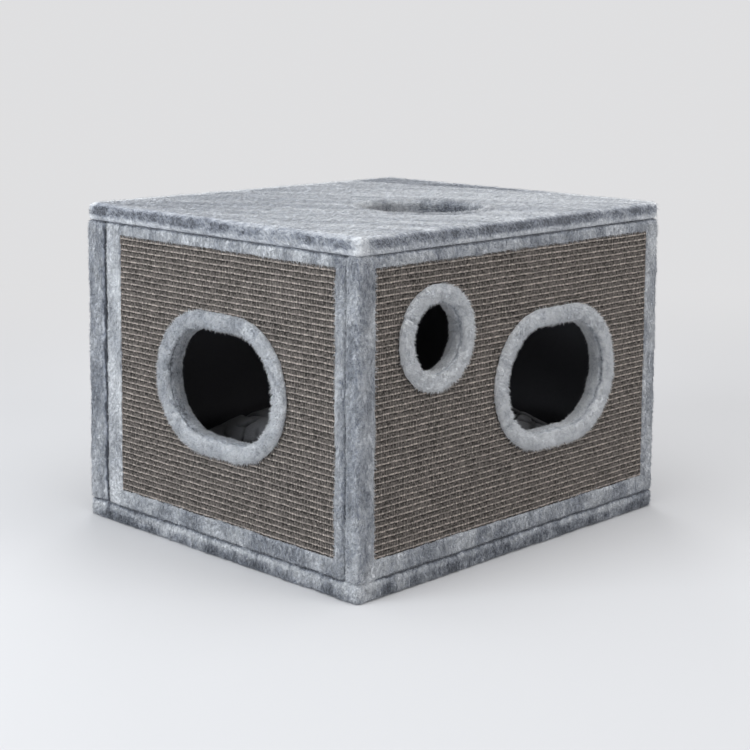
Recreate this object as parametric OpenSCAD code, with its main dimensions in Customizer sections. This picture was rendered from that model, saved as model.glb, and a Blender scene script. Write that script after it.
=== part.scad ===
// Cat condo: a plush-wrapped chipboard box with sisal scratching mats,
// padded entrance collars and a loose cushion on its floor.
// The origin is on the floor under the middle of the box, the front faces -Y and +Z is up.

/* [House] */
// Width across the front, over the plush
house_w = 600; // [540:1:800]
// Depth from the front face to the back face, over the plush
house_d = 530; // [480:1:700]
// Height from the floor to the top of the plush
house_h = 440; // [400:1:600]

/* [Boards and plush] */
// Thickness of the chipboard in the base, top, front and sides
board_t = 16; // [12:0.5:22]
// Thickness of the chipboard in the back
back_board_t = 30; // [16:0.5:34]
// Thickness of the plush over a board
plush_t = 4; // [3:0.1:6]
// Radius of a plush-wrapped edge
edge_r = 7; // [3:0.1:9]
// Radius of the corners of the base and the top, seen from above
corner_r = 12; // [9:0.5:20]
// Open seam between the side panels and the back panel
back_seam = 3; // [0:0.1:5]
// Thickness of the dark felt that lines the cabin
lining_t = 2; // [1:0.1:3]
// Thickness of the cloth tacked under the base
dust_cloth_t = 1.5; // [0.8:0.1:3]
// Width of plush turned under the base
under_fold_w = 40; // [25:1:60]

/* [Sisal mats] */
// Thickness of a sisal mat
sisal_t = 3; // [2:0.1:4]
// Plush border above a mat
border_top = 15; // [8:1:30]
// Plush border below a mat
border_low = 24; // [12:1:40]
// Plush border at each end of the front and back mats
border_end = 28; // [15:1:50]
// Plush border of a side mat next to the front
border_near = 16; // [10:1:40]
// Plush border of a side mat next to the back
border_far = 32; // [10:1:40]

/* [Openings] */
// Clear width of an oval entrance
oval_w = 200; // [170:1:220]
// Clear height of an oval entrance
oval_h = 140; // [120:1:160]
// Front entrance: distance of its middle from the middle of the house, as a share of the width
front_oval_share = 0.1167; // [0.09:0.0001:0.15]
// Front entrance: height of its middle above the floor
front_oval_z = 223; // [200:1:240]
// Left entrance: distance of its middle from the middle of the house
left_oval_y = -17; // [-40:1:20]
// Left entrance: height of its middle above the floor
left_oval_z = 226; // [200:1:240]
// Clear diameter of the round lookout
lookout_d = 86; // [60:1:100]
// Lookout: distance of its middle from the middle of the house, as a share of the width
lookout_share = -0.275; // [-0.3:0.001:-0.25]
// Lookout: distance of its middle below the top
lookout_drop = 135; // [125:1:150]
// Clear diameter of the opening in the top
hatch_d = 166; // [120:1:200]
// Top opening: distance of its middle from the middle of the house, to the side
hatch_x = 0; // [-60:1:60]
// Top opening: distance of its middle from the middle of the house, to the back
hatch_y = -87; // [-110:1:60]

/* [Collars] */
// Width of a padded collar
collar_w = 25; // [15:0.5:30]
// Height of a padded collar over the sisal
collar_rise = 9; // [6:0.5:12]
// Thickness of the plush sleeve that lines an opening
sleeve_t = 4; // [3:0.1:6]
// Width of the sleeve's lip on the inside of the wall
lip_w = 10; // [5:0.5:20]
// Width of the soft rim round the top opening
rim_w = 14; // [8:0.5:20]

/* [Joinery] */
// Side of a square corner batten
batten_s = 28; // [26:0.5:36]
// Diameter of a wooden dowel
dowel_d = 8; // [6:0.5:10]
// Depth of a dowel in the base or top board
dowel_in_plate = 10; // [6:0.5:12]
// Depth of a dowel in a wall board
dowel_in_wall = 22; // [15:0.5:30]
// Distance of the dowels from the ends of the front and back boards
dowel_end_in = 96; // [66:1:140]
// Distance of the dowels from the ends of the side boards
dowel_side_in = 78.5; // [60:0.5:120]
// Diameter of a screw's shank
screw_d = 4; // [3:0.1:5]
// Diameter of a screw's countersunk head
screw_head_d = 8; // [6.5:0.1:9]
// Length of the screws through the base and the top
plate_screw_l = 50; // [35:1:70]
// Depth of the wall screws in a wall board
screw_bite = 10; // [6:0.5:11]
// Distance of the side screws from the front or back board
side_screw_in = 20; // [18:0.5:22]
// Distance of the front and back screws above and below the middle of the batten
end_screw_z = 110; // [80:1:130]
// Distance of the side screws above and below the middle of the batten
side_screw_z = 70; // [40:1:75]

/* [Cushion] */
// Width of the cushion, corner to corner
cushion_w = 490; // [400:1:495]
// Depth of the cushion, corner to corner
cushion_d = 406; // [350:1:410]
// Height of the cushion at its crown
cushion_h = 112; // [80:1:120]
// Height of the cushion's sewn edge
cushion_seam_h = 30; // [20:1:45]
// How far each side is drawn in between the corners
cushion_draw = 16; // [5:1:30]

/* [Hidden] */
$fn = 64;
// Play round dowels, screws and sleeves
play = 0.2;
// Rest gap under the loose cushion
cushion_gap = 0.3;
// Overrun of cuts past a face
over = 1;
// Shares that shape the cushion: how full its top is and where its underside lies flat
crown_share = 0.3;
flat_share = 0.35;
// Steps of the cushion's mesh along each side
cushion_steps = 24;

wall_t = plush_t + board_t + plush_t;
back_wall_t = plush_t + back_board_t + plush_t;
plate_t = wall_t;
wall_h = house_h - 2 * plate_t;

// Faces of the boards that bound the cabin
cabin_x = house_w / 2 - plush_t - board_t;
cabin_front = -house_d / 2 + plush_t + board_t;
cabin_back = house_d / 2 - plush_t - back_board_t;
cabin_mid_y = (cabin_front + cabin_back) / 2;
floor_z = plate_t - plush_t;
ceiling_z = house_h - floor_z;

// Side panels stand between the front and back panels
side_front = -house_d / 2 + wall_t;
side_back = house_d / 2 - back_wall_t - back_seam;
side_w = side_back - side_front;
side_mid_y = (side_front + side_back) / 2;
wall_mid_z = house_h / 2;

// Entrances in the front
front_oval_x = front_oval_share * house_w;
lookout_x = lookout_share * house_w;
lookout_z = house_h - lookout_drop;

// Corner battens: middles in plan, and their length between the base and top boards
batten_x = cabin_x - batten_s / 2;
batten_front = cabin_front + batten_s / 2;
batten_back = cabin_back - batten_s / 2;
batten_l = ceiling_z - floor_z;
BATTEN_MIDDLES = [
  [-batten_x, batten_front],
  [batten_x, batten_front],
  [-batten_x, batten_back],
  [batten_x, batten_back]
];

// Dowels pass the two layers of plush between a wall board and the base or top board
dowel_l = dowel_in_plate + 2 * plush_t + dowel_in_wall;
dowel_low_z = floor_z - dowel_in_plate;
dowel_end_x = house_w / 2 - plush_t - dowel_end_in;
dowel_side_y = side_w / 2 - plush_t - dowel_side_in;
front_dowel_y = -house_d / 2 + plush_t + board_t / 2;
back_dowel_y = house_d / 2 - plush_t - back_board_t / 2;
side_dowel_x = house_w / 2 - plush_t - board_t / 2;
DOWEL_PLACES = concat(
  [for (s = [-1, 1]) [s * dowel_end_x, front_dowel_y]],
  [for (s = [-1, 1]) [s * dowel_end_x, back_dowel_y]],
  [for (side = [-1, 1], s = [-1, 1]) [side * side_dowel_x, side_mid_y + s * dowel_side_y]]
);

screw_head_h = (screw_head_d - screw_d) / 2;
wall_screw_l = batten_s + screw_bite;

PLUSH = [0.66, 0.69, 0.74];
COLLAR_PLUSH = [0.72, 0.75, 0.80];
SISAL = [0.42, 0.39, 0.36];
CHIPBOARD = [0.72, 0.58, 0.42];
FELT = [0.08, 0.08, 0.09];
CUSHION_CLOTH = [0.22, 0.22, 0.24];
BATTEN_WOOD = [0.80, 0.68, 0.50];
STEEL = [0.70, 0.70, 0.72];

// Panels are drawn with their outer face on the XY plane, +Z outwards and +Y up the wall
module on_front() {
  translate([0, -house_d / 2, wall_mid_z]) rotate([90, 0, 0]) children();
}
module on_back() {
  translate([0, house_d / 2, wall_mid_z]) rotate([90, 0, 180]) children();
}
module on_left() {
  translate([-house_w / 2, side_mid_y, wall_mid_z]) rotate([90, 0, -90]) children();
}
module on_right() {
  translate([house_w / 2, side_mid_y, wall_mid_z]) rotate([90, 0, 90]) children();
}
module on_top() {
  translate([0, 0, house_h]) children();
}
module under_base() {
  mirror([0, 0, 1]) children();
}

// Section across a wrapped panel: soft outer corners, and soft or square inner ones
module wrapped_section(w, t, inner_r) {
  translate([-w / 2 + edge_r, -t]) square([w - 2 * edge_r, t]);
  translate([-w / 2, -t + inner_r]) square([w, t - edge_r - inner_r]);
  for (s = [-1, 1]) {
    translate([s * (w / 2 - edge_r), -edge_r]) circle(edge_r);
    if (inner_r > 0)
      translate([s * (w / 2 - inner_r), -t + inner_r]) circle(inner_r);
    else
      translate([s * (w / 2 - edge_r) - edge_r, -t]) square([2 * edge_r, edge_r]);
  }
}

// Plush wrapped round a panel, with mitred soft edges
module wrapped_block(w, h, t, inner_r) {
  intersection() {
    rotate([90, 0, 0]) linear_extrude(h, center = true) wrapped_section(w, t, inner_r);
    rotate([90, 0, 90]) linear_extrude(w, center = true) wrapped_section(h, t, inner_r);
  }
}

// Plush wrapped round the base or the top, with soft edges carried round its corners
module wrapped_plate() {
  x = house_w / 2 - corner_r;
  y = house_d / 2 - corner_r;
  rotate([90, 0, 0]) linear_extrude(2 * y, center = true) wrapped_section(house_w, plate_t, edge_r);
  rotate([90, 0, 90]) linear_extrude(2 * x, center = true) wrapped_section(house_d, plate_t, edge_r);
  for (i = [-1, 1], j = [-1, 1]) translate([i * x, j * y, 0]) rotate_extrude() intersection() {
    wrapped_section(2 * corner_r, plate_t, edge_r);
    translate([0, -plate_t]) square([corner_r, plate_t]);
  }
}

// A board in its place under the outer plush, with round corners in the base and the top
module board_blank(w, h, t) {
  translate([0, 0, -plush_t - t])
    linear_extrude(t) square([w - 2 * plush_t, h - 2 * plush_t], center = true);
}
module plate_blank() {
  r = corner_r - plush_t;
  x = house_w / 2 - plush_t;
  y = house_d / 2 - plush_t;
  translate([0, 0, -plush_t - board_t]) linear_extrude(board_t) {
    square([2 * x, 2 * (y - r)], center = true);
    square([2 * (x - r), 2 * y], center = true);
    for (i = [-1, 1], j = [-1, 1]) translate([i * (x - r), j * (y - r)]) circle(r);
  }
}

// A block between two corners of the panel's face and two depths
module slab(x, y, z) {
  translate([x[0], y[0], z[0]]) cube([x[1] - x[0], y[1] - y[0], z[1] - z[0]]);
}

// Outline of an entrance: a rectangle with round ends, or a circle where it is as high as wide
module loop_outline(w, h, grow) {
  for (s = [-1, 1]) translate([s * (w - h) / 2, 0]) circle(h / 2 + grow);
  if (w > h) square([w - h, h + 2 * grow], center = true);
}

// A section carried round an entrance: x is the distance out from the clear opening, y is outwards
module loop_sweep(w, h) {
  if (w > h)
    for (turn = [0, 180]) rotate(turn) {
      translate([(w - h) / 2, 0, 0]) rotate(-90) rotate_extrude(angle = 180) translate([h / 2, 0]) children();
      translate([0, h / 2, 0]) rotate([90, 0, 90]) linear_extrude(w - h, center = true) children();
    }
  else
    rotate_extrude() translate([h / 2, 0]) children();
}

module loop_cut(at, w, h, grow, z) {
  translate([at[0], at[1], z[0]]) linear_extrude(z[1] - z[0]) loop_outline(w, h, grow);
}

// Middles of the entrances on their panels
FRONT_OVAL = [front_oval_x, front_oval_z - wall_mid_z];
LOOKOUT = [lookout_x, lookout_z - wall_mid_z];
LEFT_OVAL = [side_mid_y - left_oval_y, left_oval_z - wall_mid_z];
HATCH = [hatch_x, hatch_y];

through_wall = [-plush_t - board_t - lining_t - over, over];

module front_entrances(grow) {
  loop_cut(FRONT_OVAL, oval_w, oval_h, grow, through_wall);
  loop_cut(LOOKOUT, lookout_d, lookout_d, grow, through_wall);
}
module left_entrance(grow) {
  loop_cut(LEFT_OVAL, oval_w, oval_h, grow, through_wall);
}
module hatch(grow) {
  loop_cut(HATCH, hatch_d, hatch_d, grow, through_wall);
}

// Dowels and the holes that they fill
module dowel_set(r) {
  for (p = DOWEL_PLACES) translate([p[0], p[1], 0]) cylinder(r = r, h = dowel_l);
}
module low_dowels(r) {
  translate([0, 0, dowel_low_z]) dowel_set(r);
}
module high_dowels(r) {
  translate([0, 0, house_h - dowel_low_z - dowel_l]) dowel_set(r);
}
module dowel_holes() {
  low_dowels(dowel_d / 2 + play);
  high_dowels(dowel_d / 2 + play);
}

// Countersunk screw with its head's face on the XY plane and its tip at -Z
module screw(l, grow) {
  translate([0, 0, -l - grow]) cylinder(r = screw_d / 2 + grow, h = l + grow);
  translate([0, 0, -screw_head_h])
    cylinder(r1 = screw_d / 2 + grow, r2 = screw_head_d / 2 + grow, h = screw_head_h);
}
module base_screw_set(grow) {
  for (p = BATTEN_MIDDLES) translate([p[0], p[1], plush_t]) mirror([0, 0, 1]) screw(plate_screw_l, grow);
}
module top_screw_set(grow) {
  for (p = BATTEN_MIDDLES) translate([p[0], p[1], house_h - plush_t]) screw(plate_screw_l, grow);
}
module end_wall_screw_set(grow) {
  for (side = [-1, 1], up = [-1, 1]) {
    translate([side * batten_x, cabin_front + batten_s, wall_mid_z + up * end_screw_z])
      rotate([-90, 0, 0]) screw(wall_screw_l, grow);
    translate([side * batten_x, cabin_back - batten_s, wall_mid_z + up * end_screw_z])
      rotate([90, 0, 0]) screw(wall_screw_l, grow);
  }
}
module side_wall_screw_set(grow) {
  for (side = [-1, 1], up = [-1, 1], y = [cabin_front + side_screw_in, cabin_back - side_screw_in])
    translate([side * (cabin_x - batten_s), y, wall_mid_z + up * side_screw_z])
      rotate([0, -side * 90, 0]) screw(wall_screw_l, grow);
}

// Boards
module base_board() {
  color(CHIPBOARD) difference() {
    under_base() plate_blank();
    low_dowels(dowel_d / 2 + play);
    base_screw_set(play);
  }
}
module top_board() {
  color(CHIPBOARD) difference() {
    on_top() plate_blank();
    on_top() hatch(sleeve_t + play);
    high_dowels(dowel_d / 2 + play);
    top_screw_set(play);
  }
}
module front_board() {
  color(CHIPBOARD) difference() {
    on_front() board_blank(house_w, wall_h, board_t);
    on_front() front_entrances(sleeve_t + play);
    dowel_holes();
    end_wall_screw_set(play);
  }
}
module back_board() {
  color(CHIPBOARD) difference() {
    on_back() board_blank(house_w, wall_h, back_board_t);
    dowel_holes();
    end_wall_screw_set(play);
  }
}
module left_board() {
  color(CHIPBOARD) difference() {
    on_left() board_blank(side_w, wall_h, board_t);
    on_left() left_entrance(sleeve_t + play);
    dowel_holes();
    side_wall_screw_set(play);
  }
}
module right_board() {
  color(CHIPBOARD) difference() {
    on_right() board_blank(side_w, wall_h, board_t);
    dowel_holes();
    side_wall_screw_set(play);
  }
}

// Plush covers: each wraps its board's edges, and leaves a window for the mat or the lining
module base_plush() {
  color(PLUSH) difference() {
    under_base() wrapped_plate();
    under_base() plate_blank();
    slab([-cabin_x, cabin_x], [cabin_front, cabin_back], [floor_z - over, plate_t + over]);
    slab(
      [-house_w / 2 + under_fold_w, house_w / 2 - under_fold_w],
      [-house_d / 2 + under_fold_w, house_d / 2 - under_fold_w],
      [-over, plush_t + over]
    );
    low_dowels(dowel_d / 2 + play);
  }
}
module top_plush() {
  color(PLUSH) difference() {
    on_top() wrapped_plate();
    on_top() plate_blank();
    slab([-cabin_x, cabin_x], [cabin_front, cabin_back], [ceiling_z - plush_t - over, ceiling_z + over]);
    on_top() hatch(rim_w + play);
    high_dowels(dowel_d / 2 + play);
  }
}

// Plush of a front or back panel, turned in behind the side panels
module end_plush(t) {
  mat_x = house_w / 2 - border_end;
  difference() {
    wrapped_block(house_w, wall_h, plush_t + t + plush_t, edge_r);
    board_blank(house_w, wall_h, t);
    slab([-mat_x, mat_x], [-wall_h / 2 + border_low, wall_h / 2 - border_top], [-plush_t - over, over]);
    slab(
      [-cabin_x, cabin_x],
      [-wall_h / 2 - over, wall_h / 2 + over],
      [-plush_t - t - plush_t - over, -plush_t - t]
    );
  }
}
module front_plush() {
  color(PLUSH) difference() {
    on_front() end_plush(board_t);
    dowel_holes();
  }
}
module back_plush() {
  color(PLUSH) difference() {
    on_back() end_plush(back_board_t);
    dowel_holes();
  }
}

// Plush of a side panel; ends holds the borders at its left and right as seen from outside
module side_plush(ends) {
  difference() {
    wrapped_block(side_w, wall_h, plush_t + board_t, 0);
    board_blank(side_w, wall_h, board_t + over);
    slab(
      [-side_w / 2 + ends[0], side_w / 2 - ends[1]],
      [-wall_h / 2 + border_low, wall_h / 2 - border_top],
      [-plush_t - over, over]
    );
  }
}
module left_plush() {
  color(PLUSH) difference() {
    on_left() side_plush([border_far, border_near]);
    dowel_holes();
  }
}
module right_plush() {
  color(PLUSH) difference() {
    on_right() side_plush([border_near, border_far]);
    dowel_holes();
  }
}

// Sisal mats, glued on the boards inside the plush borders
module mat(w, ends) {
  slab(
    [-w / 2 + ends[0], w / 2 - ends[1]],
    [-wall_h / 2 + border_low, wall_h / 2 - border_top],
    [-plush_t, sisal_t - plush_t]
  );
}
module front_sisal() {
  color(SISAL) on_front() difference() {
    mat(house_w, [border_end, border_end]);
    front_entrances(sleeve_t + play);
  }
}
module back_sisal() {
  color(SISAL) on_back() mat(house_w, [border_end, border_end]);
}
module left_sisal() {
  color(SISAL) on_left() difference() {
    mat(side_w, [border_far, border_near]);
    left_entrance(sleeve_t + play);
  }
}
module right_sisal() {
  color(SISAL) on_right() mat(side_w, [border_near, border_far]);
}

// Padded collar: a round-topped roll that lies on the sisal round an entrance
module collar(at, w, h) {
  crown_r = (collar_w * collar_w / 4 + collar_rise * collar_rise) / (2 * collar_rise);
  translate([at[0], at[1], sisal_t - plush_t]) loop_sweep(w, h) intersection() {
    translate([collar_w / 2, collar_rise - crown_r]) circle(crown_r);
    square([collar_w, collar_rise + over]);
  }
}
module front_oval_collar() {
  color(COLLAR_PLUSH) on_front() collar(FRONT_OVAL, oval_w, oval_h);
}
module lookout_collar() {
  color(COLLAR_PLUSH) on_front() collar(LOOKOUT, lookout_d, lookout_d);
}
module left_oval_collar() {
  color(COLLAR_PLUSH) on_left() collar(LEFT_OVAL, oval_w, oval_h);
}

// Sleeve: lines an opening through the board up to a depth, with a lip on the inside
module sleeve_section(outer_z) {
  inner_z = -plush_t - board_t - lining_t;
  translate([0, inner_z]) square([sleeve_t, outer_z - inner_z]);
  translate([0, inner_z]) square([sleeve_t + lip_w, lining_t]);
}
module wall_sleeve(at, w, h) {
  translate([at[0], at[1], 0]) loop_sweep(w, h) sleeve_section(sisal_t - plush_t);
}
module front_oval_sleeve() {
  color(PLUSH) on_front() wall_sleeve(FRONT_OVAL, oval_w, oval_h);
}
module lookout_sleeve() {
  color(PLUSH) on_front() wall_sleeve(LOOKOUT, lookout_d, lookout_d);
}
module left_oval_sleeve() {
  color(PLUSH) on_left() wall_sleeve(LEFT_OVAL, oval_w, oval_h);
}

// The hatch's sleeve turns over the edge of the board in a soft rim
module hatch_sleeve() {
  color(PLUSH) on_top() translate([HATCH[0], HATCH[1], 0]) loop_sweep(hatch_d, hatch_d) {
    sleeve_section(-sleeve_t);
    translate([sleeve_t, -plush_t]) square([rim_w - sleeve_t, plush_t]);
    translate([sleeve_t, -sleeve_t]) intersection() {
      circle(sleeve_t);
      translate([-sleeve_t, 0]) square(sleeve_t);
    }
  }
}

// Felt linings between the battens
lip_out = sleeve_t + lip_w + play;
module plate_lining(z) {
  difference() {
    slab([-cabin_x, cabin_x], [cabin_front, cabin_back], z);
    for (p = BATTEN_MIDDLES) translate([p[0], p[1], (z[0] + z[1]) / 2]) cube(batten_s + play, center = true);
  }
}
module floor_lining() {
  color(FELT) plate_lining([floor_z, floor_z + lining_t]);
}
module ceiling_lining() {
  color(FELT) difference() {
    plate_lining([ceiling_z - lining_t, ceiling_z]);
    on_top() hatch(lip_out);
  }
}
module end_lining(t) {
  x = cabin_x - batten_s - play;
  y = wall_h / 2 - plush_t;
  slab([-x, x], [-y, y], [-plush_t - t - lining_t, -plush_t - t]);
}
module front_lining() {
  color(FELT) on_front() difference() {
    end_lining(board_t);
    front_entrances(lip_out);
  }
}
module back_lining() {
  color(FELT) on_back() end_lining(back_board_t);
}

// The side linings stop at the battens, which lie unevenly about the middle of a side panel
side_lining_front = cabin_front + batten_s + play - side_mid_y;
side_lining_back = cabin_back - batten_s - play - side_mid_y;
module side_lining(x) {
  y = wall_h / 2 - plush_t;
  slab(x, [-y, y], [-plush_t - board_t - lining_t, -plush_t - board_t]);
}
module left_lining() {
  color(FELT) on_left() difference() {
    side_lining([-side_lining_back, -side_lining_front]);
    left_entrance(lip_out);
  }
}
module right_lining() {
  color(FELT) on_right() side_lining([side_lining_front, side_lining_back]);
}
module base_dust_cloth() {
  x = house_w / 2 - under_fold_w;
  y = house_d / 2 - under_fold_w;
  color(FELT) slab([-x, x], [-y, y], [plush_t - dust_cloth_t, plush_t]);
}

// Corner battens between the base and top boards, drilled for the screws
module batten(i) {
  color(BATTEN_WOOD) difference() {
    translate([BATTEN_MIDDLES[i][0], BATTEN_MIDDLES[i][1], floor_z + batten_l / 2])
      cube([batten_s, batten_s, batten_l], center = true);
    base_screw_set(play);
    top_screw_set(play);
    end_wall_screw_set(play);
    side_wall_screw_set(play);
  }
}
module front_left_batten() {
  batten(0);
}
module front_right_batten() {
  batten(1);
}
module back_left_batten() {
  batten(2);
}
module back_right_batten() {
  batten(3);
}

// Dowels and screws
module base_dowels() {
  color(BATTEN_WOOD) low_dowels(dowel_d / 2);
}
module top_dowels() {
  color(BATTEN_WOOD) high_dowels(dowel_d / 2);
}
module base_screws() {
  color(STEEL) base_screw_set(0);
}
module top_screws() {
  color(STEEL) top_screw_set(0);
}
module end_wall_screws() {
  color(STEEL) end_wall_screw_set(0);
}
module side_wall_screws() {
  color(STEEL) side_wall_screw_set(0);
}

// Cushion: two sewn sheets on a grid of shares from -1 to 1, crowned above and flat below
function grid_share(i) = 2 * i / cushion_steps - 1;
function fullness(u, v) = (1 - u ^ 4) * (1 - v ^ 4);
function cushion_point(u, v, z) = [
  u * (cushion_w / 2 - cushion_draw * (1 - v ^ 2)),
  v * (cushion_d / 2 - cushion_draw * (1 - u ^ 2)),
  z
];
function cushion_top(u, v) =
  cushion_point(u, v, cushion_seam_h + (cushion_h - cushion_seam_h) * fullness(u, v) ^ crown_share);
function cushion_low(u, v) =
  cushion_point(u, v, cushion_seam_h * (1 - min(1, fullness(u, v) / flat_share)));
function on_edge(i, j) = i == 0 || j == 0 || i == cushion_steps || j == cushion_steps;
module cushion() {
  n = cushion_steps + 1;
  half = cushion_steps / 2;
  top = [for (i = [0:cushion_steps], j = [0:cushion_steps]) cushion_top(grid_share(i), grid_share(j))];
  low = [for (i = [0:cushion_steps], j = [0:cushion_steps]) cushion_low(grid_share(i), grid_share(j))];
  low_index = [for (i = [0:cushion_steps], j = [0:cushion_steps]) (on_edge(i, j) ? 0 : n * n) + i * n + j];
  // Each cell of the grid is cut along the diagonal that runs from the nearest corner to the middle
  top_faces = [for (i = [0:cushion_steps - 1], j = [0:cushion_steps - 1])
    let (a = i * n + j, b = a + 1, d = a + n, c = d + 1)
    each ((i < half) == (j < half) ? [[a, b, c], [a, c, d]] : [[b, c, d], [b, d, a]])];
  low_faces = [for (f = top_faces) [low_index[f[2]], low_index[f[1]], low_index[f[0]]]];
  color(CUSHION_CLOTH) translate([0, cabin_mid_y, floor_z + lining_t + cushion_gap])
    polyhedron(concat(top, low), concat(top_faces, low_faces));
}

base_board();
top_board();
front_board();
back_board();
left_board();
right_board();
base_plush();
top_plush();
front_plush();
back_plush();
left_plush();
right_plush();
front_sisal();
back_sisal();
left_sisal();
right_sisal();
front_oval_collar();
lookout_collar();
left_oval_collar();
front_oval_sleeve();
lookout_sleeve();
left_oval_sleeve();
hatch_sleeve();
floor_lining();
ceiling_lining();
front_lining();
back_lining();
left_lining();
right_lining();
base_dust_cloth();
front_left_batten();
front_right_batten();
back_left_batten();
back_right_batten();
base_dowels();
top_dowels();
base_screws();
top_screws();
end_wall_screws();
side_wall_screws();
cushion();
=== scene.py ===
import math

import bpy
import numpy as np
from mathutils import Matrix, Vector, noise

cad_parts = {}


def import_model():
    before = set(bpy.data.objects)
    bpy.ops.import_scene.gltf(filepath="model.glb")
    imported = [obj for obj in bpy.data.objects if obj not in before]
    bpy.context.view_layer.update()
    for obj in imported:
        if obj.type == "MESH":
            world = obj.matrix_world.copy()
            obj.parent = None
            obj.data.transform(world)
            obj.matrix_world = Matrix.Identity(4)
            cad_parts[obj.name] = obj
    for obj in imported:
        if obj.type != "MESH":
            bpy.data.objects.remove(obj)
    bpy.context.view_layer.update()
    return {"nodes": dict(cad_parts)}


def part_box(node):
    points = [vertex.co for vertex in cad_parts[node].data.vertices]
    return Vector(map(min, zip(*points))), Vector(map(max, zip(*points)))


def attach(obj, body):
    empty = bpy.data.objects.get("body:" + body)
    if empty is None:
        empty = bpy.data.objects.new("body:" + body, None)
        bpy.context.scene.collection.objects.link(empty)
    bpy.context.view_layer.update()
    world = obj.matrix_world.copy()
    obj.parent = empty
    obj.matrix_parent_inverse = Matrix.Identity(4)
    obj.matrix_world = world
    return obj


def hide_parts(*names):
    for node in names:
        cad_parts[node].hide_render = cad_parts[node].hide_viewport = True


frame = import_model()
scene = bpy.context.scene
scene.view_settings.view_transform = "Standard"

# Camera: a short telephoto on a stand off the near corner of the house, a little above its top,
# so that the left side and the front show about equally.
CAMERA_PLACE = (-1.6379, -1.5976, 0.6785)
CAMERA_DOWN, CAMERA_YAW, CAMERA_ROLL = 6.5, 45.658, 0.384
LENS_MM, SENSOR_MM, LENS_SHIFT = 79.23, 36, -0.21
bpy.ops.object.camera_add(
    location=CAMERA_PLACE,
    rotation=(math.radians(90 - CAMERA_DOWN), 0, math.radians(-CAMERA_YAW)),
)
camera = bpy.context.object
camera.rotation_euler.rotate_axis("Z", math.radians(CAMERA_ROLL))
camera.data.lens = LENS_MM
camera.data.sensor_width = SENSOR_MM
camera.data.shift_y = LENS_SHIFT
scene.camera = camera


# Studio: a wide pale floor under a pale sky, with a broad lamp overhead and softer ones at each
# side of the camera and at the rear. Far from the house the floor fades into the sky, with no horizon.
FLOOR_R, FLOOR_SIDES = 30, 96
FADE_FROM, FADE_TO = 0.6, 2.2
FLOOR_COLOUR = (0.60, 0.60, 0.61, 1)
BACKDROP_COLOUR = (0.74, 0.74, 0.75, 1)
SKY_COLOUR = (0.95, 0.97, 1.0, 1)
SKY_STRENGTH = 0.42


def put(tree, kind, wires, **settings):
    """Adds a node. wires gives an input, by name or number, a plain value or another node's output."""
    node = tree.nodes.new(kind)
    for key, value in settings.items():
        setattr(node, key, value)
    for socket, value in wires.items():
        if isinstance(value, bpy.types.NodeSocket):
            tree.links.new(value, node.inputs[socket])
        else:
            node.inputs[socket].default_value = value
    return node


def new_material(name, shader_values):
    """A material with one Principled shader, whose plain values are set on its own sockets."""
    material = bpy.data.materials.new(name)
    material.use_nodes = True
    shader = material.node_tree.nodes["Principled BSDF"]
    for socket, value in shader_values.items():
        shader.inputs[socket].default_value = value
    return material, material.node_tree, shader


def reckon(tree, operation, *values):
    """A sum, product or the like of values that change over the surface."""
    return put(tree, "ShaderNodeMath", dict(enumerate(values)), operation=operation).outputs[0]


def share_of(tree, value, none, full, ease="LINEAR"):
    """A share that goes from 0, where the value is none, to 1, where it is full."""
    return put(
        tree, "ShaderNodeMapRange", {"Value": value, "From Min": none, "From Max": full},
        interpolation_type=ease,
    ).outputs["Result"]


def place_on(tree):
    """The place of each point in its object's own frame."""
    return put(tree, "ShaderNodeTexCoord", {}).outputs["Object"]


def seen_rays(tree):
    """1 on the rays that show the backdrop: the camera's own, mirrored and refracted ones."""
    rays = put(tree, "ShaderNodeLightPath", {}).outputs
    mirrored = reckon(tree, "MAXIMUM", rays["Is Camera Ray"], rays["Is Glossy Ray"])
    return reckon(tree, "MAXIMUM", mirrored, rays["Is Transmission Ray"])


def area_lamp(name, place, aim, size, power, colour=(1, 1, 1)):
    bpy.ops.object.light_add(type="AREA", location=place)
    lamp = bpy.context.object
    lamp.name = name
    lamp.data.size = size
    lamp.data.energy = power
    lamp.data.color = colour
    lamp.rotation_euler = (Vector(aim) - Vector(place)).to_track_quat("-Z", "Y").to_euler()


bpy.ops.object.select_all(action="DESELECT")
bpy.ops.mesh.primitive_circle_add(vertices=FLOOR_SIDES, radius=FLOOR_R, fill_type="NGON")
floor = bpy.context.object
floor.name = "floor"
floor_paint, tree, shader = new_material("floor_paint", {"Base Color": FLOOR_COLOUR, "Roughness": 0.9})
place = place_on(tree)
distance = put(tree, "ShaderNodeVectorMath", {0: place}, operation="LENGTH").outputs["Value"]
far_off = share_of(tree, distance, FADE_FROM, FADE_TO, "SMOOTHSTEP")
faded = reckon(tree, "MULTIPLY", far_off, seen_rays(tree))
haze = put(tree, "ShaderNodeEmission", {"Color": BACKDROP_COLOUR}).outputs["Emission"]
floor_mix = put(tree, "ShaderNodeMixShader", {0: faded, 1: shader.outputs["BSDF"], 2: haze})
tree.links.new(floor_mix.outputs["Shader"], tree.nodes["Material Output"].inputs["Surface"])
floor.data.materials.append(floor_paint)

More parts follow.
